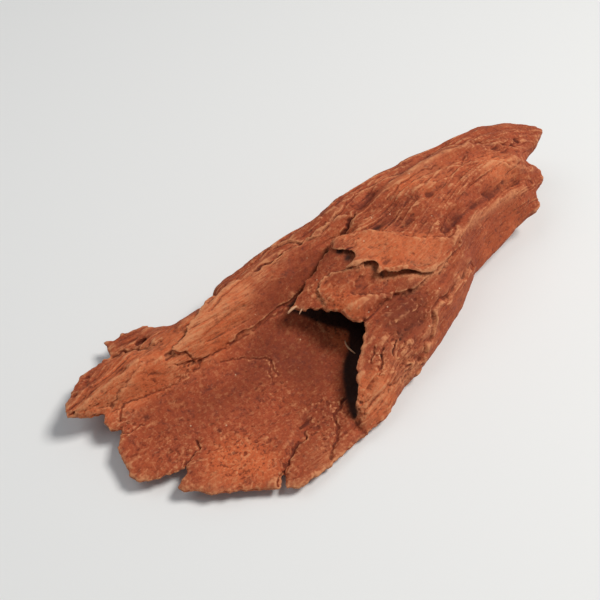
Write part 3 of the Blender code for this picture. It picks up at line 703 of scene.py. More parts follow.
# Where the wood has crumbled: strength, radius, place.
crumbled = [
    (1.0, 15, (-98, -32)), (0.8, 8, (-86, -48)), (1.0, 9, (-60, -46)), (0.9, 9, (-51, -37)),
    (0.8, 9, (-134, 12)), (1.0, 6, (-96, 17)), (0.6, 6, (-20, -3)), (0.5, 6, (-26, 6)),
    (0.5, 10, (10, -30)), (0.9, 6, (-22, -40)), (0.6, 9, (-7, -38)), (0.3, 10, (36, 12)), (0.4, 7, (57, 4)),
    (0.4, 9, (100, 26)), (0.4, 9, (104, -4)), (0.8, 6, (-141, 22)), (0.6, 8, (-138, 39)),
    (0.15, 12, (20, -12)), (0.3, 9, (90, 12)), (0.5, 16, (-120, -14)), (0.4, 14, (-70, -14)),
    (0.5, 7, (-113, 14)), (0.5, 6, (-47, -44)), (0.9, 6, (-8, -42)), (0.6, 8, (3, 15)), (0.45, 8, (15, 3)),
    (0.7, 5, (-40, -49)), (0.5, 8, (40, 13)), (0.5, 7, (46, -8)),
]

# Smooth, quiet places in the rough wood: strength, radius, place.
calmPlaces = [
    (0.9, 13, (1, -28)), (0.8, 9, (16, -28)), (0.8, 8, (30, -26)), (0.9, 6, (36, -34)), (0.9, 7, (50, -28)),
    (0.9, 8, (66, -19)), (0.9, 11, (76, 29)), (0.8, 8, (60, 29)), (0.8, 8, (95, 22)), (0.8, 9, (-122, 19)),
    (0.9, 7, (-14, 23)), (0.9, 7, (-27, 23)), (0.9, 7, (-40, 22)), (0.8, 6, (-52, 21)), (0.7, 8, (98, -8)),
    (0.7, 8, (82, -12)), (0.6, 8, (-138, 34)), (0.5, 9, (48, 2)), (0.6, 8, (120, 38)),
]

# Small round holes: depth, radius, place.
holes = [
    (2.6, 2.4, (-104, 45)), (1.2, 1.6, (129, 21)), (1.2, 1.5, (122, 18)), (1.0, 1.6, (-135, 43)),
    (1.0, 1.4, (-145, 35)),
]

# Cracks: depth, half width, points.
cracks = [
    (0.7, 0.4, [(-79, 12), (-74, 10), (-67, 7), (-60, 3), (-57, 0), (-59, -4), (-59, -8)]),
    (0.5, 0.35, [(-57, 0), (-61, -4), (-63, -9)]),
    (0.9, 0.5, [(-137, 8), (-133, 6), (-127, 7), (-126, 5)]),
    (1.2, 0.5, [(-131, 17), (-134, 13)]),
    (1.5, 0.7, [(-93, -55), (-88, -51), (-83, -48), (-74, -43), (-69, -42)]),
    (0.7, 0.45, [(-69, -42), (-64, -37), (-60, -36)]),
    (1.2, 0.7, [(-40, -37), (-45, -39), (-50, -41), (-53, -47), (-57, -51), (-66, -58)]),
    (1.1, 0.45, [(-20.5, -33.5), (-23.5, -35.5), (-26.5, -38)]),
    (1.3, 0.6, [(-17, -36), (-20, -38), (-22, -41), (-24, -42)]),
    (0.9, 0.5, [(-25, -41), (-25, -44), (-27, -45)]),
    (0.9, 0.4, [(-9, -36), (-12, -38.5), (-14, -41)]),
    (0.8, 0.4, [(-6, -38), (-8, -40.5)]),
    (1.2, 0.6, [(-124, -24), (-119, -21), (-112, -19), (-110, -15)]),
    (1.6, 0.7, [(-152, 25.5), (-144, 27), (-139, 27.5), (-134, 28), (-127, 28.5), (-121, 29)]),
    (0.7, 0.5, [(-134, 20), (-128, 22), (-121, 23), (-112, 26)]),
    (1.4, 0.8, [(-120, 48), (-115, 47), (-111, 44), (-108, 39), (-105, 35), (-99, 33)]),
    (1.3, 0.8, [(-71, 33), (-57, 37), (-40, 43), (-24, 46)]),
    (0.6, 0.45, [(-84, 16), (-73, 16), (-64, 15), (-55, 15), (-44, 15), (-32, 15)]),
    (0.6, 0.45, [(-132, 18), (-126, 18), (-117, 16), (-109, 14), (-104, 13), (-95, 14), (-85, 16)]),
    (0.9, 0.5, [(5, 24), (10, 26), (16, 28)]),
    (0.8, 0.7, [(1, 22), (7, 25), (12, 27), (17, 29)]),
    (0.8, 0.6, [(48, -17), (41, -20), (34, -22.5), (28, -24)]),
    (0.8, 0.6, [(0, -45), (-17, -49), (-30, -51), (-42, -52)]),
]


# Ledges where a thin layer ends: height, reach of the raised side, points. The side on the left is raised.
ledges = [
    (1.0, 5, [(-26, 43), (-18, 40), (-12, 32), (-4, 30), (6, 33), (15, 36), (24, 38)]),
    (0.9, 4, [(-48, 41), (-33, 41), (-16, 43), (-5, 47), (2, 43), (11, 41), (20, 42), (33, 41), (50, 42),
              (68, 42)]),
    (1.1, 6, [(117, 19), (108, 24), (100, 28), (85, 35), (62, 34), (44, 37), (28, 38)]),
    (0.8, 5, [(122, 6), (108, 7), (96, 13), (74, 21), (51, 23)]),
    (1.9, 6, [(58, -21), (48, -25), (36, -29), (30, -31.5), (24, -32.5), (17, -34), (14, -38), (11, -41),
              (4, -44), (-6, -45)]),
    (1.0, 4, [(-98, 19), (-90, 17), (-80, 15.5), (-66, 16.5), (-48, 16.5), (-32, 16.5)]),
    (0.8, 4, [(-73, 29), (-60, 33), (-49, 35), (-39, 35.5), (-27, 35)]),
    (0.7, 4, [(-150, 30), (-140, 33), (-128, 34), (-116, 36), (-108, 40)]),
    (0.7, 3, [(12, 41), (30, 46), (50, 48), (75, 48), (98, 46)]),
    (0.6, 4, [(60, 3), (70, 5), (80, 6), (92, 7)]),
    (0.7, 4, [(34, 24), (44, 26), (56, 27), (66, 26)]),
    (0.6, 4, [(88, 21), (80, 17), (70, 15), (60, 16)]),
]


def patchAt(patches, x, y, gather=np.maximum):
    # Strongest of the round patches at each place, or with np.add their sum
    total = np.zeros(len(x))
    for strength, radius, (px, py) in patches:
        total = gather(total, strength * np.exp(-(((x - px) ** 2 + (y - py) ** 2) / radius**2)))
    return total


def terraces(field, levels):
    # Flat steps with short steep edges, as thin layers break away
    scaled = field * levels
    whole = np.floor(scaled)
    return (whole + smoothStep((scaled - whole - 0.88) / 0.12)) / levels


def reliefKinds(points):
    # Each kind of relief at each point, before its height
    grain = grainPlace(points)

    def lump(name, places=points):
        return roughness(places, *lumps[name])

    grit, sheets = lump("grit"), lump("sheets", grain) + 1
    worms = np.exp(-((lump("wormLines") / 0.06) ** 2)) * smoothStep(lump("wormPlaces") / 0.3 + 0.5)
    pits = smoothStep((lump("pits") + 0.6 * grit - 0.27) / 0.16)
    furrowed = smoothStep(lump("furrowed") / 0.3 + 0.5)
    return {
        "swells": lump("swells"),
        "dents": lump("dents", grain),
        "ribs": lump("ribs", grain),
        "fibres": lump("fibres", grain),
        "grit": grit,
        "layers": 3 * (terraces(sheets, 3) - sheets),
        "furrows": -furrowed * np.exp(-((lump("furrows", grain) / 0.12) ** 2)),
        "pits": -np.maximum(0.6 * worms, pits),
    }


def fineRelief(points, normals):
    # The relief of each part of the wood, more where it has crumbled and less where it is calm
    x, y, _ = points.T
    kinds = reliefKinds(points)
    broken = patchAt(crumbled, x, y) * smoothStep(normals[:, 2] / 0.3 + 0.4)
    pushed = broken * sum(height * kinds[kind] for kind, height in relief["crumbled"].items())
    quiet = 1 - patchAt(calmPlaces, x, y)
    for name, share in regions(points, normals).items():
        for kind, height in zip(relief["kinds"], relief[name]):
            pushed += share * height * kinds[kind] * (1 if kind in relief["keptWhereCalm"] else quiet)
    steep = smoothStep((0.55 - np.abs(normals[:, 2])) / 0.3)
    return pushed + relief["layeredSides"] * steep * roughness(points, *lumps["sideLayers"])


def placedRelief(points):
    # The cracks, ledges and holes, as deep as they are where the wood faces up
    x, y, _ = points.T

    def wander(reach, name):
        return reach * roughness(points, *lumps[name])

    jitterX, jitterY = wander(relief["jitter"], "jitterX"), wander(relief["jitter"], "jitterY")
    ledgeX = x + wander(relief["drift"], "driftX") + 0.25 * jitterX
    ledgeY = y + wander(relief["drift"], "driftY") + 0.25 * jitterY
    uneven = 0.85 + wander(0.5, "uneven")
    pushed = np.zeros(len(x))
    for depth, width, line in cracks:
        gap = distanceTo(line, x + jitterX, y + jitterY)
        pushed -= depth * np.exp(-((gap / width) ** 2))
    for height, reach, line in ledges:
        beside = besideLine(line, ledgeX, ledgeY)
        raised = smoothStep(beside / 0.6 + 0.5) * np.exp(-np.maximum(beside, 0) / reach)
        foot = 0.45 * np.exp(-(((beside + 0.7) / 0.45) ** 2))  # groove below the edge
        pushed += height * uneven * (raised - foot)
    for depth, radius, (px, py) in holes:
        pushed -= depth * np.exp(-((((x - px) ** 2 + (y - py) ** 2) / radius**2) ** 2))
    return pushed


def carve(wood):
    mesh = wood.data
    points, normals = pointsOf(mesh), normalsOf(mesh)
    top = smoothStep(normals[:, 2] / 0.3)
    points += normals * (fineRelief(points, normals) + top * placedRelief(points))[:, None]
    points[:, 2] = np.maximum(points[:, 2], 0)
    setPoints(mesh, points)
    print("relief carved on", len(points), "points")


def standsOut(mesh, points, normals, rounds):
    # How far each point stands out of (or, below zero, sinks into) its smoothed surroundings
    return ((points - smoothed(mesh, points, rounds)) * normals).sum(axis=1)


skyView = {
    "rays": 9,
    "turn": 2.4,  # from one ray to the next, in radians
    "reach": 14.0,  # wood farther off than this hides nothing
    "lift": 0.25,  # start of the rays above the wood
}


def openness(mesh, points, normals):
    # Share of the sky that each point sees
    mesh.calc_loop_triangles()
    triangles = valuesOf(mesh.loop_triangles, "vertices", 3, np.int32)
    tree = bvhtree.BVHTree.FromPolygons(points.tolist(), triangles.tolist())
    rays, reach, spread = skyView["rays"], skyView["reach"], []
    for k in range(rays):
        lean, turn = math.asin(math.sqrt((k + 0.5) / rays)), skyView["turn"] * k
        spread.append((math.sin(lean) * math.cos(turn), math.sin(lean) * math.sin(turn), math.cos(lean)))
    seen = np.zeros(len(points))
    for i, (p, n) in enumerate(zip(points.tolist(), normals.tolist())):
        n = Vector(n)
        side = n.orthogonal().normalized()
        other = n.cross(side)
        start = Vector(p) + n * skyView["lift"]
        hits = [tree.ray_cast(start, side * u + other * v + n * w, reach)[0] for u, v, w in spread]
        seen[i] = hits.count(None) / rays
    return seen


def storeValues(mesh, name, values):
    kind, field = ("FLOAT", "value") if values.ndim == 1 else ("FLOAT_VECTOR", "vector")
    mesh.attributes.new(name, kind, "POINT").data.foreach_set(field, values.astype(np.float32).ravel())


# Painted shadow: the floor and walls inside the hollow are coloured nearly black where the hood's shade
# falls.
hollowShade = {
    "outline": [
        (-38, 17), (-37, 12), (-31, 5), (-24, -2), (-17, -8), (-22, -14), (-30, -20), (-36, -27),
        (-41, -35), (-45, -43), (-48, -50), (-40, -52), (-20, -44), (10, -34), (34, -20), (40, 0), (30, 14),
        (0, 22), (-20, 18),
    ],
    "soft": 3.6,
}

# Painted shadow, nearly black, in the gaps under the torn edge of the upper flap: strength, radius, place.
notchShadows = [
    (0.9, 1.8, (-4.5, 14)), (0.95, 2.3, (-3.5, 8.5)), (0.8, 1.7, (2.5, -4)), (0.8, 1.6, (4, -8)),
]

# Where the wood is warmer (1) or darker (-1) than its middle colour: share, radius, place.
stains = [
    (0.9, 15, (-104, -32)), (0.5, 10, (-92, -44)), (0.3, 10, (-134, -14)), (0.3, 12, (-60, -23)),
    (0.5, 14, (-86, 24)), (-0.3, 14, (-44, -8)), (-0.4, 18, (-52, 5)), (-0.4, 14, (-70, 3)),
    (-0.3, 16, (-36, -20)), (0.9, 14, (10, 5)), (0.9, 12, (28, -13)), (0.6, 8, (-18, -12)),
    (0.2, 7, (6, -14)), (0.35, 40, (70, 30)), (-0.4, 8, (-14, 23)), (-0.4, 8, (-27, 23)),
    (-0.4, 8, (-40, 23)), (-0.35, 7, (-52, 21)), (0.4, 7, (-38, 31)), (0.3, 8, (-52, 29)),
    (-0.3, 12, (-112, 6)), (-0.25, 12, (-92, 0)), (0.5, 12, (-133, 24)), (0.4, 10, (-62, 25)),
    (-0.3, 12, (4, -29)), (0.7, 8, (-32, -45)), (0.9, 14, (-120, 22)), (0.7, 10, (-143, 25)),
    (0.3, 22, (-118, 36)), (0.6, 12, (-30, -52)), (0.2, 22, (24, -38)), (0.5, 10, (104, 9)),
    (-0.4, 7, (-5, 12)), (-0.5, 10, (-50, -44)), (-0.4, 9, (-139, 33)), (0.5, 18, (-92, 22)),
    (0.2, 24, (66, -22)), (-0.35, 13, (-116, -17)), (-0.35, 11, (-54, -20)), (-0.35, 10, (-60, -31)),
    (-0.35, 8, (-92, 12)), (-0.25, 14, (-100, -4)), (-0.2, 12, (-80, -12)), (-0.5, 6, (-130, 14)),
    (-0.4, 6, (-119, 12)), (0.5, 7, (-42, -48)), (0.5, 6, (-34, -46)), (-0.4, 6, (-27, -39)),
    (-0.5, 10, (58, 35)), (-0.4, 8, (102, 25)), (-0.35, 7, (97, -3)), (0.5, 8, (76, -16)),
    (0.6, 6, (3, 22)), (0.4, 6, (9, -8)), (0.5, 6, (-24, 4)), (-0.6, 13, (1, -28)), (-0.25, 9, (16, -27)),
    (-0.4, 9, (32, -25)), (-0.35, 5, (27, -15)), (-0.3, 9, (56, -15)), (-0.3, 12, (72, -7)),
    (-0.45, 7, (62, 41)), (-0.45, 7, (76, 41.5)), (-0.4, 7, (90, 39)), (-0.6, 5, (38, -2)),
    (-0.6, 5, (46, -7)), (-0.5, 5, (27, 6)), (0.6, 9, (-72, 21)), (0.6, 9, (-56, 27)), (0.6, 10, (48, 22)),
    (0.5, 10, (98, 8)), (0.5, 9, (98, -13)), (0.5, 9, (-22, -8)), (-0.5, 6, (30, 15)), (-0.5, 6, (44, 16)),
]
# Places with pale fibres along the grain: strength, radius, place.
paleFibres = [
    (0.9, 7, (-90, 22)), (0.9, 7, (-78, 26)), (0.9, 7, (-66, 27)), (0.9, 6, (-53, 29)), (0.9, 5, (-41, 31)),
    (0.7, 5, (-30, 33)), (0.8, 6, (-84, 21)), (0.5, 10, (100, 9)), (0.4, 16, (60, 28)),
    (0.5, 9, (-32, -50)), (0.7, 9, (-126, 22)), (0.7, 8, (-142, 24)), (0.7, 8, (-134, 24)),
    (0.6, 8, (-62, 25)), (0.5, 9, (-12, -44)), (0.5, 5, (-114, 47)), (0.2, 8, (10, -38)),
    (0.8, 7, (-56, 27)), (0.8, 6, (-100, 20)), (0.5, 8, (-68, -57)), (0.4, 8, (-118, -44)),
    (0.3, 10, (44, -32)), (0.5, 12, (8, 6)), (0.5, 10, (26, -12)), (0.4, 12, (-106, 34)),
]
# Worn edges with a pale line: strength, half width, points.
paleLines = [
    (0.8, 0.7, [(54, -22), (45, -25.5), (36, -29), (30, -31.5), (24, -32.5), (17, -34), (14, -38),
                (10, -42), (4, -44)]),
    (1.0, 0.9, [(-153, 25), (-144, 26), (-134, 27), (-127, 27), (-120, 28)]),
    (0.8, 0.7, [(-134, 20), (-128, 22), (-121, 23), (-112, 26)]),
    (1.0, 1.0, [(-98, 22), (-91, 23.5), (-85, 26.5), (-78, 30), (-71, 34)]),
    (0.8, 0.7, [(-95, 21), (-86, 22), (-76, 24), (-66, 25)]),
    (0.8, 0.7, [(-90, 23), (-80, 26), (-70, 28), (-60, 29)]),
    (0.7, 0.9, [(-76, 31), (-62, 34), (-52, 35), (-37, 34), (-22, 33)]),
    (1.0, 0.8, [(0, 0), (-8, 4), (-13, 7), (-18, 9), (-23, 7), (-26, 3), (-26, -2)]),
    (1.0, 0.8, [(-9, 4), (-4, 0), (1, -1), (3.5, -5), (1, -9), (8, -13), (14, -17), (20, -22), (29, -23),
                (36, -21)]),
    (0.8, 0.8, [(7, -21), (12, -23), (19, -23), (26, -22)]),
    (0.7, 0.6, [(40, -12), (34, -17), (28, -20), (20, -17), (15, -13)]),
    (0.5, 0.9, [(51, 22.5), (74, 21), (96, 12.5), (108, 7), (122, 6)]),
    (0.5, 0.9, [(44, -16), (54, -13), (66, -10), (77, -7.5), (88, -5.5), (100, -4), (114, -3)]),
    (0.5, 0.9, [(28, 37.5), (44, 37), (62, 34), (85, 35), (100, 28), (115, 20)]),
    (0.8, 0.9, [(-26, 43), (-18, 40), (-12, 32.5), (-4, 30.5), (6, 33.5), (15, 36.5)]),
    (0.8, 0.8, [(-16, -21), (-22, -27), (-28, -33), (-33, -38), (-39, -43), (-43, -48), (-44, -52)]),
    (0.7, 0.8, [(2, -45), (-17, -49), (-30, -51), (-42, -52)]),
    (0.8, 0.8, [(-120, 48), (-115, 47), (-111, 44), (-108, 39), (-105, 35), (-100, 34)]),
]


def recordLooks(wood):
    # Stores what the material needs to know at each point
    mesh = wood.data
    points, normals = pointsOf(mesh), normalsOf(mesh)
    x, y, z = points.T
    where = regions(points, normals)
    fine, broad = standsOut(mesh, points, normals, 4), standsOut(mesh, points, normals, 30)
    folds = where["hood"] * creased(hood["creases"], x, y) / 4
    folds += where["ridge"] * creased(scoop["creases"], x, y) / 5
    hoodZ = hoodHeight(x, y)
    # Painted shadow inside the hollow, below the hood
    caveShadow = smoothStep(insideDistance(hollowShade["outline"], x, y) / hollowShade["soft"])
    caveShadow *= smoothStep((hoodZ - 1.0 - z) / 2.5) * smoothStep((normals[:, 2] + 0.9) / 0.4)
    # Painted shadow in the gaps under the upper flap's torn edge
    notchShade = patchAt(notchShadows, x, y) * smoothStep(hoodZ + 4.3 - z)
    upward = smoothStep(normals[:, 2] / 0.4 + 0.5)
    calm = patchAt(calmPlaces, x, y)
    smooth = where["floor"] + 0.6 * where["flaps"] + 0.9 * calm + 0.6 * where["hood"]
    lines = np.zeros(len(x))
    for strength, width, line in paleLines:
        lines = np.maximum(lines, strength * np.exp(-((distanceTo(line, x, y) / width) ** 2)))
    guides = {
        "grain": grainPlace(points),
        "edges": np.clip(fine / 0.25, -1, 1),
        # How far the wood stands out: pale for wear and painted highlight on crests, dark for dirt and
        # painted shade in hollows
        "wornAndShaded": np.clip(broad / 1.5 + 0.55 * folds, -1, 1),
        "crumbled": patchAt(crumbled, x, y),
        "caveShadow": np.maximum(caveShadow, notchShade),
        # The share of sky each point sees drives painted shade in the material
        "openness": openness(mesh, points, normals),
        "tone": np.clip(patchAt(stains, x, y, np.add), -1, 1) * upward,
        "paleFibres": patchAt(paleFibres, x, y) * upward,
        "paleLines": lines * upward,
        "quiet": calm,
        "smoothWood": np.clip(smooth, 0, 1),
    }
    for name, values in guides.items():
        storeValues(mesh, name, values)
    print("colour guides stored on", len(points), "points")


def colourOf(hexCode):
    parts = [int(hexCode[i:i + 2], 16) / 255 for i in (0, 2, 4)]
    return [p / 12.92 if p <= 0.04045 else ((p + 0.055) / 1.055) ** 2.4 for p in parts] + [1]


weatheredWood = {
    "black": "140a07",
    "deep": "5a2010",
    "brown": "994324",
    "middle": "a3492a",
    "orange": "c65f34",
    "pale": "d68f62",
    "speck": "e0b894",
    "roughness": (0.72, 0.95),
    "shine": 0.3,
    # Spots in metres: size along x, y and z, detail, roughness
    "patches": ((0.019, 0.016, 0.016), 4, 0.6),
    "mottle": ((0.0042, 0.0036, 0.0036), 6, 0.72),
    "grit": ((0.0011, 0.001, 0.001), 4, 0.65),
    "pits": ((0.0021, 0.0019, 0.0019), 3, 0.6),
    "speckSpacing": 0.0046,
    # Streaks in millimetres: size along the grain, across it and in height, detail, roughness
    "streaks": ((16, 1.9, 1.9), 4, 0.6),
    "fibres": ((6, 0.5, 0.5), 3, 0.6),
    "hairs": ((9, 0.8, 0.8), 3, 0.6),
    "bump": {"Strength": 0.6, "Distance": 0.0006},
}


class Graph:
    # Short ways to add and join nodes
    def __init__(self, material):
        material.use_nodes = True
        self.tree = material.node_tree
        self.tree.nodes.clear()

    def add(self, kind, inputs=(), **settings):
        # A node with its settings, and its inputs linked or set
        node = self.tree.nodes.new("ShaderNode" + kind)
        for name, value in settings.items():
            setattr(node, name, value)
        for name, value in dict(inputs).items():
            if isinstance(value, bpy.types.NodeSocket):
                self.tree.links.new(value, node.inputs[name])
            else:
                node.inputs[name].default_value = value
        return node

    def attribute(self, name, output="Fac"):
        return self.add("Attribute", attribute_name=name).outputs[output]

    def scaled(self, vector, sizes):
        return self.add("VectorMath", {0: vector, 1: sizes}, operation="DIVIDE").outputs[0]

    def noise(self, vector, sizes, detail, rough):
        inputs = {"Vector": self.scaled(vector, sizes), "Scale": 1.0, "Detail": detail, "Roughness": rough}
        return self.add("TexNoise", inputs).outputs["Fac"]

    def fit(self, source, low, high, start=0.0, end=1.0):
        inputs = {"Value": source, "From Min": low, "From Max": high, "To Min": start, "To Max": end}
        return self.add("MapRange", inputs, interpolation_type="SMOOTHSTEP").outputs["Result"]

    def times(self, first, second):
        return self.add("Math", {0: first, 1: second}, operation="MULTIPLY").outputs[0]

    def plus(self, first, second):
        return self.add("Math", {0: first, 1: second}, operation="ADD").outputs[0]

    def blend(self, share, first, second):
        return self.add("MixRGB", {"Fac": share, "Color1": first, "Color2": second}).outputs[0]


def woodMaterial():
    look = weatheredWood
    material = bpy.data.materials.new("weathered mangrove wood")
    g = Graph(material)
    wornAndShaded, edges, seen, caveShadow, tone = map(g.attribute, ("wornAndShaded", "edges", "openness", "caveShadow", "tone"))
    crumbly, fibrePlaces, lines = map(g.attribute, ("crumbled", "paleFibres", "paleLines"))
    smoothWood, quiet = map(g.attribute, ("smoothWood", "quiet"))
    grain, position = g.attribute("grain", "Vector"), g.add("NewGeometry").outputs["Position"]
    spots, strands = ("patches", "mottle", "grit", "pits"), ("streaks", "fibres", "hairs")
    patches, mottle, grit, pits = (g.noise(position, *look[name]) for name in spots)
    streaks, fibres, hairs = (g.noise(grain, *look[name]) for name in strands)
    fibrous, busy = g.fit(smoothWood, 0, 1, 1.0, 0.35), g.fit(quiet, 0, 1, 1.0, 0.4)
    specksAt = g.scaled(position, [look["speckSpacing"]] * 3)
    cells = g.add("TexVoronoi", {"Vector": specksAt, "Scale": 1.0}).outputs
    chance = g.add("SeparateColor", {"Color": cells["Color"]}).outputs[0]
    specks = g.times(g.fit(cells["Distance"], 0.11, 0.06), g.fit(chance, 0.86, 0.88))
    low = g.times(g.fit(wornAndShaded, -0.1, -0.8), g.fit(mottle, 0.7, 0.35, 0.45, 1))
    crumbs = g.times(g.fit(pits, 0.54, 0.68), g.fit(crumbly, 0, 1, 0.22, 0.5))
    openPits = g.times(g.fit(pits, 0.44, 0.32), g.fit(crumbly, 0, 1, 0.35, 0.75))
    layers = [  # share and colour of each layer over the ones before it
        (g.fit(tone, 0.0, 0.9), "orange"),  # warm stains
        (g.times(g.fit(streaks, 0.45, 0.72, 0, 0.4), fibrous), "orange"),
        (g.times(g.fit(streaks, 0.47, 0.28, 0, 0.35), fibrous), "deep"),
        (g.times(g.fit(mottle, 0.52, 0.7, 0, 0.42), busy), "pale"),
        (g.fit(mottle, 0.47, 0.3, 0, 0.66), "deep"),
        (g.fit(grit, 0.45, 0.28, 0, 0.52), "deep"),
        (g.times(g.fit(grit, 0.56, 0.72, 0, 0.44), busy), "pale"),
        (openPits, "deep"),
        (g.times(crumbs, busy), "pale"),
        (g.times(g.times(g.fit(hairs, 0.34, 0.66), fibrePlaces), 0.75), "pale"),
        (g.times(g.fit(grit, 0.35, 0.6, 0.2, 0.8), lines), "pale"),
        (g.fit(tone, 0.0, -0.85, 0, 0.62), "deep"),  # dark stains
        (g.times(g.fit(wornAndShaded, 0.12, 0.9, 0, 0.42), g.fit(mottle, 0.3, 0.65, 0.5, 1)), "pale"),  # pale crests, partly wear and partly painted highlight
        (g.times(g.fit(edges, 0.35, 1.0, 0, 0.8), g.fit(mottle, 0.35, 0.6, 0.4, 1)), "pale"),  # sharp edges
        (g.times(low, 0.75), "deep"),  # dirt and painted shade in the low places
        (g.fit(edges, -0.2, -0.9, 0, 0.6), "deep"),  # dirt and painted shade in the cracks
        (g.fit(seen, 0.75, 0.1, 0, 0.48), "deep"),  # painted shade on wood that sees little sky
        # painted shadow, nearly black, in the hollow and in the gaps under the upper flap
        (g.fit(caveShadow, 0.0, 1.0, 0, 0.93), "black"),
        (g.times(specks, 0.65), "speck"),
    ]
    wood = g.blend(g.fit(patches, 0.35, 0.65), colourOf(look["brown"]), colourOf(look["middle"]))
    for share, colour in layers:
        wood = g.blend(share, wood, colourOf(look[colour]))
    height = g.plus(g.plus(g.times(fibres, fibrous), g.times(grit, 0.9)), g.times(mottle, 0.8))
    bump = g.add("Bump", {"Height": height, **look["bump"]})
    shader = g.add("BsdfPrincipled", {
        "Base Color": wood,
        "Roughness": g.fit(mottle, 0.3, 0.7, *look["roughness"]),
        "Specular IOR Level": look["shine"],
        "Normal": bump.outputs["Normal"],
    })
    g.add("OutputMaterial", {"Surface": shader.outputs[0]})
    return material


def plainPaint(name, colour, roughness):
    paint = bpy.data.materials.new(name)
    paint.use_nodes = True
    shader = paint.node_tree.nodes["Principled BSDF"]
    shader.inputs["Base Color"].default_value = colour
    shader.inputs["Roughness"].default_value = roughness
    return paint


studio = {
    "floor": (0.8, 0.8, 0.79, 1),
    "floorSize": 14,
    "floorRoughness": 0.7,
    "world": (0.9, 0.95, 1.0, 1),
    "worldStrength": 0.22,
    "key": {"place": (0.72, -0.4, 1.4), "size": 0.5, "watts": 21.5, "colour": (1.0, 0.98, 0.95)},
    "fill": {"place": (-0.5, 0.5, 1.2), "size": 0.9, "watts": 3.2, "colour": (0.95, 0.97, 1.0)},
}

camera = {
    "aim": (-0.0194, 0.0309, 0.0),
    "offset": (-0.1721, -0.2284, 0.3409),  # from the aim to the camera
    "fieldOfView": 40.0,
}


def setInScene(name, data, place, towards):
    # An object at a place that faces in a direction
    thing = bpy.data.objects.new(name, data)
    thing.location = place
    thing.rotation_euler = towards.to_track_quat("-Z", "Y").to_euler()
    bpy.context.scene.collection.objects.link(thing)
    return thing


def setCamera():
    data = bpy.data.cameras.new("photoView")
    data.sensor_width = 36
    data.lens = data.sensor_width / 2 / math.tan(math.radians(camera["fieldOfView"] / 2))
    offset = Vector(camera["offset"])
    bpy.context.scene.camera = setInScene("photoView", data, Vector(camera["aim"]) + offset, -offset)


def setLight(name, lamp):
    data = bpy.data.lights.new(name, "AREA")
    data.shape, data.size, data.energy, data.color = "SQUARE", lamp["size"], lamp["watts"], lamp["colour"]
    setInScene(name, data, lamp["place"], -Vector(lamp["place"]))


def setStudio():
    bpy.ops.mesh.primitive_plane_add(size=studio["floorSize"])
    ground = bpy.context.object
    ground.name = "paleFloor"
    ground.data.materials.append(plainPaint("pale floor", studio["floor"], studio["floorRoughness"]))
    setLight("keyLight", studio["key"])
    setLight("fillLight", studio["fill"])
    world = bpy.data.worlds.new("softRoom")
    world.use_nodes = True
    sky = world.node_tree.nodes["Background"]
    sky.inputs["Color"].default_value = studio["world"]
    sky.inputs["Strength"].default_value = studio["worldStrength"]
    bpy.context.scene.world = world
    bpy.context.scene.view_settings.view_transform = "Standard"


fibrePaint = {"colour": "d6a47e", "roughness": 0.9}

# Loose fibres of the wood, each with its radius and its points above the wood's surface.
looseFibres = {
    "rootletInHollow": {
        "radius": 0.55, "surface": "floor",
        "line": [
            (-19.5, -11, 0.3), (-20.8, -13, 0.9), (-21.2, -15.5, 1.0), (-20.9, -18, 0.7),
            (-20.2, -20.5, 0.2),
        ],
    },
    "splintersOnFlap": {
        "radius": 0.75, "surface": "flap",
        "line": [(-36, 7, 1.2), (-38.5, 7.3, 0.9), (-40.6, 7.5, 0.2), (-41.6, 7.4, -0.6)],
    },
    "shortSplinterOnFlap": {
        "radius": 0.6, "surface": "flap",
        "line": [(-34, 4.6, 1.0), (-36, 4.2, 0.5), (-37.4, 3.6, -0.6)],
    },
}


def shadeSmooth(mesh):
    mesh.polygons.foreach_set("use_smooth", np.ones(len(mesh.polygons), bool))


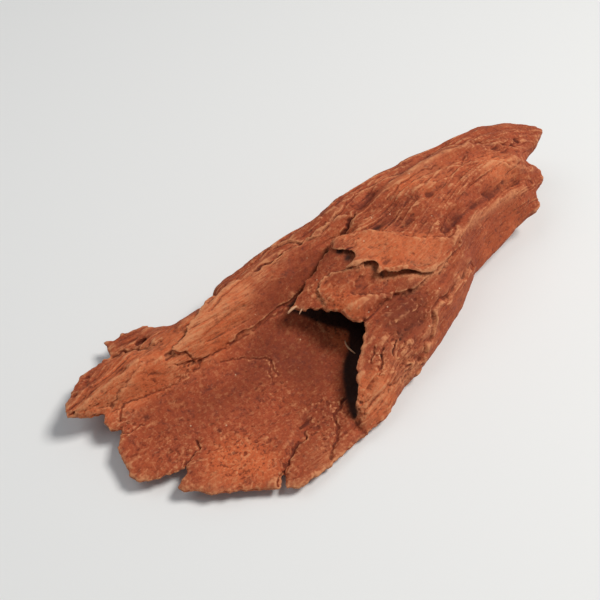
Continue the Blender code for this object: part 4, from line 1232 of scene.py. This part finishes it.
def fibre(name, look, sides=8):
    # A thin rod that tapers to both ends
    x, y, lift = np.array(look["line"], float).T
    z = (floorHeight if look["surface"] == "floor" else hoodHeight)(x, y) + lift
    path = [Vector(p) for p in zip(x - middle[0], y - middle[1], z)]
    angles = [2 * math.pi * k / sides for k in range(sides)]
    body = bmesh.new()
    rings = []
    for place, point in enumerate(path):
        ahead = (path[min(place + 1, len(path) - 1)] - path[max(place - 1, 0)]).normalized()
        side = ahead.orthogonal().normalized()
        radius = look["radius"] * (0.35 + 0.65 * math.sin(math.pi * (place + 0.5) / len(path)))
        turns = [side.cross(ahead) * math.sin(a) + side * math.cos(a) for a in angles]
        rings.append([body.verts.new((point + turn * radius) * mm) for turn in turns])
    for low, high in zip(rings, rings[1:]):
        for k in range(sides):
            after = (k + 1) % sides
            body.faces.new((low[k], low[after], high[after], high[k]))
    body.faces.new(rings[0][::-1])
    body.faces.new(rings[-1])
    bmesh.ops.recalc_face_normals(body, faces=body.faces)
    mesh = bpy.data.meshes.new(name)
    body.to_mesh(mesh)
    body.free()
    shadeSmooth(mesh)
    rod = bpy.data.objects.new(name, mesh)
    bpy.context.scene.collection.objects.link(rod)
    return changedBy(rod, "SUBSURF", levels=2)


def addLooseFibres():
    paint = plainPaint("pale fibre", colourOf(fibrePaint["colour"]), fibrePaint["roughness"])
    for name, look in looseFibres.items():
        rod = fibre(name, look)
        rod.data.materials.clear()
        rod.data.materials.append(paint)
        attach(rod, "root")
    print("loose fibres added:", len(looseFibres))


def makeRoot():
    plates = shapePlates()
    print("plates shaped:", len(plates))
    wood = fusedBody(plates)
    keepLargest(wood)
    print("fused points:", len(wood.data.vertices))
    evenSides(wood)
    carve(wood)
    faces = 2 * len(wood.data.polygons)
    changedBy(wood, "DECIMATE", ratio=wholeRoot["triangles"] / faces, use_collapse_triangulate=True)
    print("triangles kept:", len(wood.data.polygons))
    recordLooks(wood)
    mesh = wood.data
    points = pointsOf(mesh)
    points[:, 2] = np.maximum(points[:, 2], 0)
    points[:, 0] -= middle[0]
    points[:, 1] -= middle[1]
    setPoints(mesh, points * mm)
    shadeSmooth(mesh)
    mesh.materials.clear()
    mesh.materials.append(woodMaterial())
    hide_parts("mangrove_root")
    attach(wood, "root")


setCamera()
setStudio()
makeRoot()
addLooseFibres()
